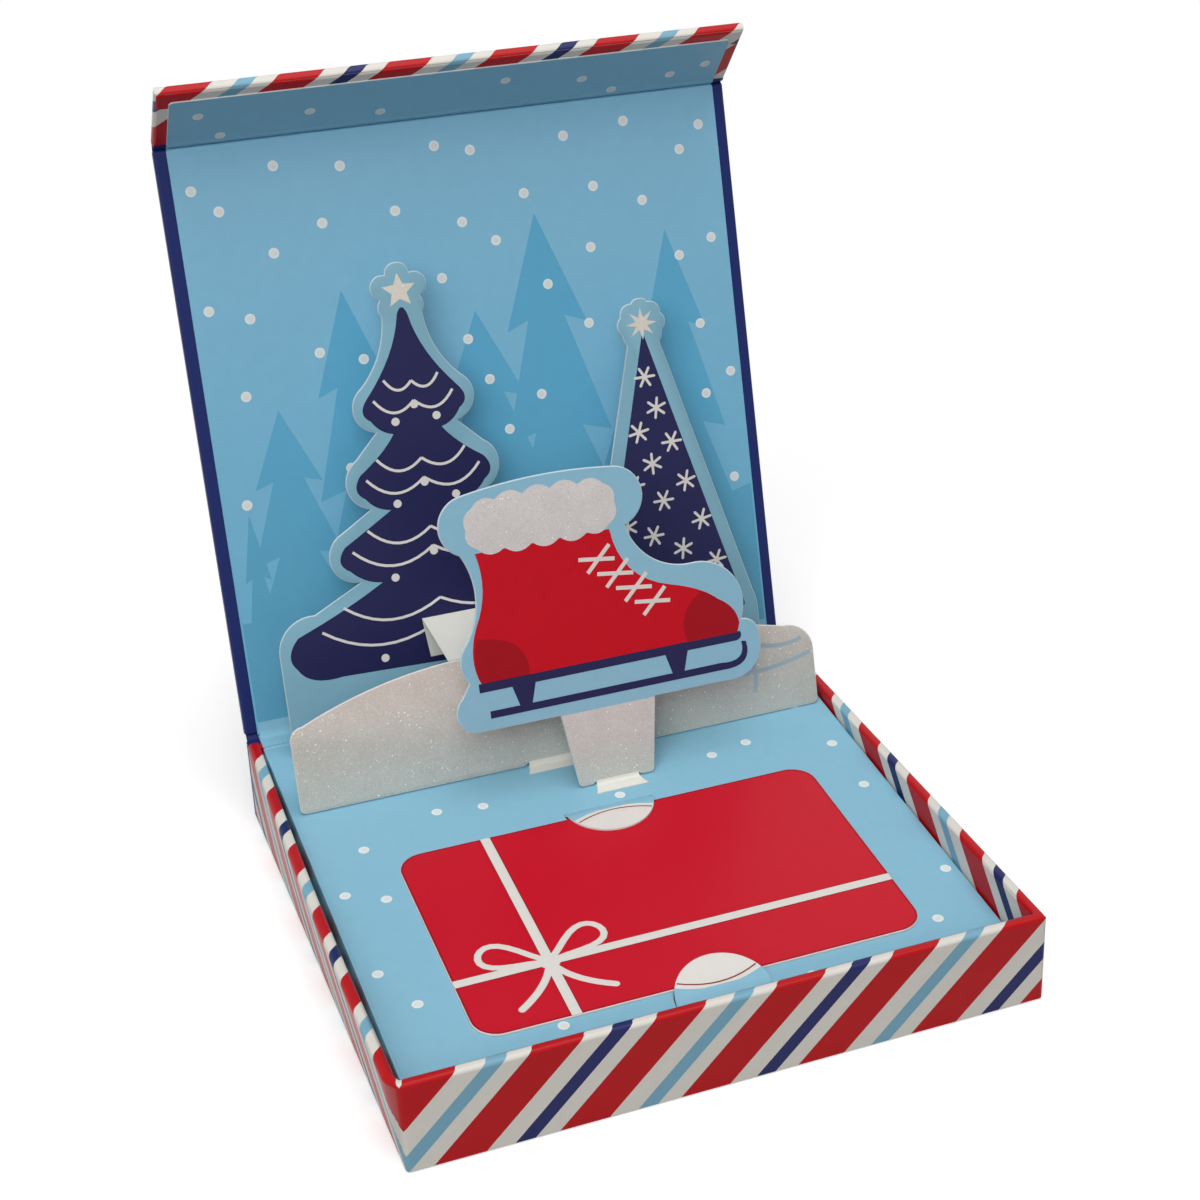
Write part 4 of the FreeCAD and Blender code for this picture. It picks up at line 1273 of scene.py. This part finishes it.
def star(x, s, outer, inner, points=5):
    return [
        (x + r * math.sin(math.pi * i / points), s + r * math.cos(math.pi * i / points))
        for i in range(2 * points) for r in ((outer, inner)[i % 2],)
    ]


def flake():
    """A snowflake with six plain arms, as one outline."""
    points = []
    for a in (math.pi / 3 * arm for arm in range(6)):
        c, s = math.cos(a), math.sin(a)
        points += [(along * c - aside * s, along * s + aside * c) for along, aside in FLAKE_ARM]
    return points


garlands = [line for garland in GARLANDS for line in swag(*garland)]
baubles = [
    ring(LEFT_TREE + side * half * share, s - dip * drop, BAUBLE_RADIUS, 16)
    for half, s, dip in GARLANDS[1::2] for side in (-1, 1) for share, drop in BAUBLES
    if share or side > 0 and half < WIDE_TIER
]
print_on_trees("tree_garlands", garlands + baubles, 2, white_ink)
tops = [star(LEFT_TREE, 90.0, 3.6, 1.6), star(RIGHT_TREE, 76.1, 3.4, 1.35, 8)]
print_on_trees("tree_stars", tops, 2, star_snow)
scatter("tree_snowflakes", flake(), FLAKES, TREES, PANEL_FACE, 2, white_ink, "tree_layer")
print(len(garlands), "swags,", len(baubles), "baubles,", len(FLAKES), "snowflakes and two stars")

# %% [markdown]
# The hill is printed as snow and dusted with glitter, whose sparkle is painted as glints. A few pale curves
# show where skates have passed.

# %% Snowy hill
TRACKS = [
    ((22.0, 13.6), (38.0, 9.0), (54.8, 10.8)),
    ((30.0, 16.8), (40.4, 13.0), (41.8, 4.4)),
    ((36.0, 17.4), (46.0, 13.8), (53.2, 14.2)),
]
TRACK_WIDTH = 0.9
rolled_card("snow_hill", "hill_card", HILL, hill_snow, "hill_layer")
tracks = [band(bow(*track, 16), TRACK_WIDTH) for track in TRACKS]
print_shapes("skate_tracks", tracks, HILL, PANEL_FACE, 1, skate_line_ink, "hill_layer")
print(len(tracks), "tracks on the hill")

# %% [markdown]
# The front layer is a skate boot on a stem of snow. The card round it is left light blue as a halo.
# The boot is red with darker patches at heel and toe, and a navy sole and blade.

# %% Skate boot
BOOT_LEFT, BOOT_FOOT = -24.0, (-1.216, 14.592)
STEM = [
    (25.4, -0.35), (26.2, 0.1), (35.3, 0.1), (36.1, -0.35), (37.7, -0.35), (38.6, 0.6, 38.35, -0.15),
    (40.4, 14.9), (20.8, 14.9), (22.8, 0.6), (23.7, -0.35, 23.0, -0.15),
]
BOOT = [
    (5.6, 24.6), (6.0, 36.0, 4.6, 30.0), (7.6, 50.4, 8.2, 43.0), (35.0, 50.4), (46.4, 37.0, 38.4, 41.8),
    (56.0, 32.2, 52.0, 34.9), (60.0, 26.4, 58.9, 29.6), (59.4, 24.6),
]
HEEL = [(5.6, 24.6), (5.7, 33.5, 4.9, 29.0), (15.5, 24.6, 13.4, 31.0)]
TOE_CAP = [
    (48.6, 24.6), (52.6, 34.4, 48.6, 30.2), (56.0, 32.1, 54.4, 33.4), (60.0, 26.4, 58.9, 29.6), (59.4, 24.6),
]
SOLE = [(5.0, 22.9), (59.0, 22.9), (60.0, 24.7, 60.0, 23.5), (5.0, 24.7)]
BLADE = [
    (6.6, 17.4), (55.4, 17.4), (61.0, 22.4, 60.2, 18.4), (60.0, 22.6), (55.2, 18.9, 59.2, 19.4), (6.6, 18.9),
]
POSTS = [[(x - 2.4, 22.9), (x - 1.2, 18.6), (x + 1.2, 18.6), (x + 2.4, 22.9)] for x in (14.0, 46.0)]


def print_on_boot(name, outlines, level, material):
    """Prints shapes whose x counts from the left edge of the boot's card."""
    moved = [[(x + BOOT_LEFT, s) for x, s in outline] for outline in outlines]
    print_shapes(name, moved, SKATE, PANEL_FACE, level, material, "skate_layer")


rolled_card("skate_panel", "boot_card", SKATE, boot_halo_paper, "skate_layer", BOOT_FOOT)
print_on_boot("stem_snow", [trace(STEM)], 1, stem_snow)
print_on_boot("boot_upper", [trace(BOOT)], 1, red_ink)
print_on_boot("boot_patches", [trace(HEEL), trace(TOE_CAP)], 2, deep_red_ink)
print_on_boot("sole_and_blade", [trace(shape) for shape in [SOLE, BLADE] + POSTS], 2, navy_ink)
print("boot with sole and blade")

# %% [markdown]
# The cuff is fluffy: its outline bulges between one spot and the next. It is dusted with glitter, whose sparkle
# is painted as glints.
# Four pairs of white laces cross on the front of the boot.

# %% Cuff and laces
CUFF_SPOTS = [
    (8.2, 51.2), (13.6, 50.6), (19.2, 50.6), (24.8, 50.6), (30.4, 50.6), (35.0, 51.4), (36.6, 55.6),
    (34.8, 59.6), (29.6, 60.3), (24.0, 60.5), (18.4, 60.4), (12.8, 60.2), (8.0, 59.2), (6.4, 55.2),
]
BULGE = 0.22
LACE_X, LACE_S, LACE_STEP, LACE_WIDTH = 34.0, 47.0, 3.5, 0.8
LACE_PAIR = (((-6.0, -1.6), (1.4, -2.6)), ((-4.4, -4.6), (0.6, 0.4)))

cuff = []
for (x, s), (x2, s2) in zip(CUFF_SPOTS, CUFF_SPOTS[1:] + CUFF_SPOTS[:1]):
    cuff.append((x2, s2, (x + x2) / 2 + (s2 - s) * BULGE, (s + s2) / 2 - (x2 - x) * BULGE))
print_on_boot("boot_cuff", [trace(cuff)], 2, cuff_snow)
laces = []
for step in range(4):
    x, s = LACE_X + LACE_STEP * step, LACE_S - LACE_STEP * step
    laces += [band([(x + dx, s + ds) for dx, ds in lace], LACE_WIDTH) for lace in LACE_PAIR]
print_on_boot("boot_laces", laces, 2, white_ink)
print("cuff and", len(laces), "laces")

# %% [markdown]
# Straps of thin white paper tie each layer to the one behind, so that the scene stands up by itself.
# Their glued ends and the glued feet of the layers are the same paper.

# %% Straps and glued tabs
paint(strap_paper, "tree_straps", "hill_strap", "skate_strap")
paint(strap_paper, "lid_strap_tabs", "tree_strap_tabs", "hill_strap_tab")
paint(strap_paper, "skate_strap_rear_tab", "skate_strap_front_tab")
paint(strap_paper, "tree_floor_tab", "hill_floor_tab", "skate_floor_tab")
print("straps and tabs painted")

# %% [markdown]
# Paper bends where boards part. A narrow strip crosses each hinge.
# At the lid's hinge these are the blue sheet in the gutter and the navy cover round the back.

# %% Paper at the lid's hinge
GUTTER_TOP, GUTTER_BEND, GUTTER_PULL, GUTTER_HALF = 18.03, 58.6, 0.3, 56.6
GUTTER_START = [(54.6, 17.52), (55.2, 17.56), (55.45, 17.8), (55.75, GUTTER_TOP), (57.6, GUTTER_TOP)]
SPINE_FACE, SPINE_BEND, LID_BACK, WRAP_HALF = 59.53, 16.6, -2.53, 59.3
COVER_START, COVER_PULL, COVER_END = (12.0, 14.6), (59.7, 18.4), (4.0, 6.5)


def hinge_strip(name, section, half_width, material, start, end, middle=0.0):
    """A strip of paper from the points (y, z) of its section. It is not attached to a body. The arguments start
    and end are not used.
    """
    piece = bent_strip(name, section, half_width, material, middle)
    start, end = ((0, y * MM, z * MM) for y, z in (start, end))
    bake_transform(piece)


hinge_y = JOINTS["lid_hinge"]["pos_m"][1] / MM
start, end = (GUTTER_BEND, GUTTER_TOP), on_sheet(LID, 1.2, LIFT)
gutter = GUTTER_START + curve(start, (hinge_y - GUTTER_PULL, GUTTER_TOP), end, 8) + [on_sheet(LID, 3.0, LIFT)]
hinge_strip("gutter_fold", gutter, GUTTER_HALF, gutter_paper, start, end)

start, end = (SPINE_FACE, SPINE_BEND), on_sheet(LID, 2.2, LID_BACK)
cover = [(SPINE_FACE, z) for z in COVER_START] + curve(start, COVER_PULL, end, 8)
cover += [on_sheet(LID, s, LID_BACK) for s in COVER_END]
hinge_strip("cover_fold", cover, WRAP_HALF, navy_paper, start, end)

# %% [markdown]
# The flap's crease has three strips: the blue liner, the navy margin just under it, and the cover outside.

# %% Paper at the flap's crease
LID_END = [(118.3, 0.03), (118.9, 0.03), (119.25, 0.0), (119.45, -0.2), (119.7, -0.55)]
FLAP_START = [(0.3, 0.1), (0.55, 0.42), (0.8, 0.62), (1.2, 0.63), (1.8, 0.63)]
MARGIN_DROP = 0.25
OUTER_START, OUTER_BEND, OUTER_PULL, OUTER_END = (114.0, 116.0), 118.0, (119.6, -2.75), (1.0, -1.93)


def crease_section(drop):
    ahead = [on_sheet(LID, s, out - drop) for s, out in LID_END]
    return ahead + [on_sheet(FLAP, s, out - drop) for s, out in FLAP_START]


inner = crease_section(0.0)
hinge_strip(
    "flap_inner_fold", inner, LINER_HALF, crease_paper, inner[1], inner[-2]
)
margin = crease_section(MARGIN_DROP)
hinge_strip(
    "flap_margin_fold", margin, WRAP_HALF, navy_paper, margin[1], margin[-2]
)
start, end = on_sheet(LID, OUTER_BEND, LID_BACK), on_sheet(FLAP, *OUTER_END)
outer = [on_sheet(LID, s, LID_BACK) for s in OUTER_START] + curve(start, on_sheet(LID, *OUTER_PULL), end, 8)
hinge_strip("flap_outer_fold", outer, WRAP_HALF, navy_paper, start, end)
print("three strips at the flap's crease")

# %% [markdown]
# Each layer stands on a glued foot. The strip runs from the face of the layer down to the foot.

# %% Paper at the feet of the layers
FEET = {"tree": (TREES, 0.0, 20.0), "hill": (HILL, 2.6, 11.0), "skate": (SKATE, 6.75, 4.65)}
FOOT_TOP = [(0.3, 0.205), (0.0, 0.205), (-0.25, 0.225)]
FOOT_FLOOR = [(-0.35, 0.24), (-0.8, 0.23)]
FOOT_AHEAD, FOOT_INSET = 0.3, 0.15

for layer, (place, middle, half) in FEET.items():
    run = up_platform(JOINTS[f"{layer}_fold"]["pos_m"][1] / MM - FOOT_AHEAD)
    foot = [on_sheet(place, s, out) for s, out in FOOT_TOP]
    foot += [on_sheet(PLATFORM, run + s, out) for s, out in FOOT_FLOOR]
    hinge_strip(
        f"{layer}_foot_fold", foot, half - FOOT_INSET, strap_paper,
        foot[-2], foot[1], middle,
    )
print(len(FEET), "feet bend with their layers")

# %% [markdown]
# Last, nothing is left selected.

# %% Finish
bpy.ops.object.select_all(action="DESELECT")
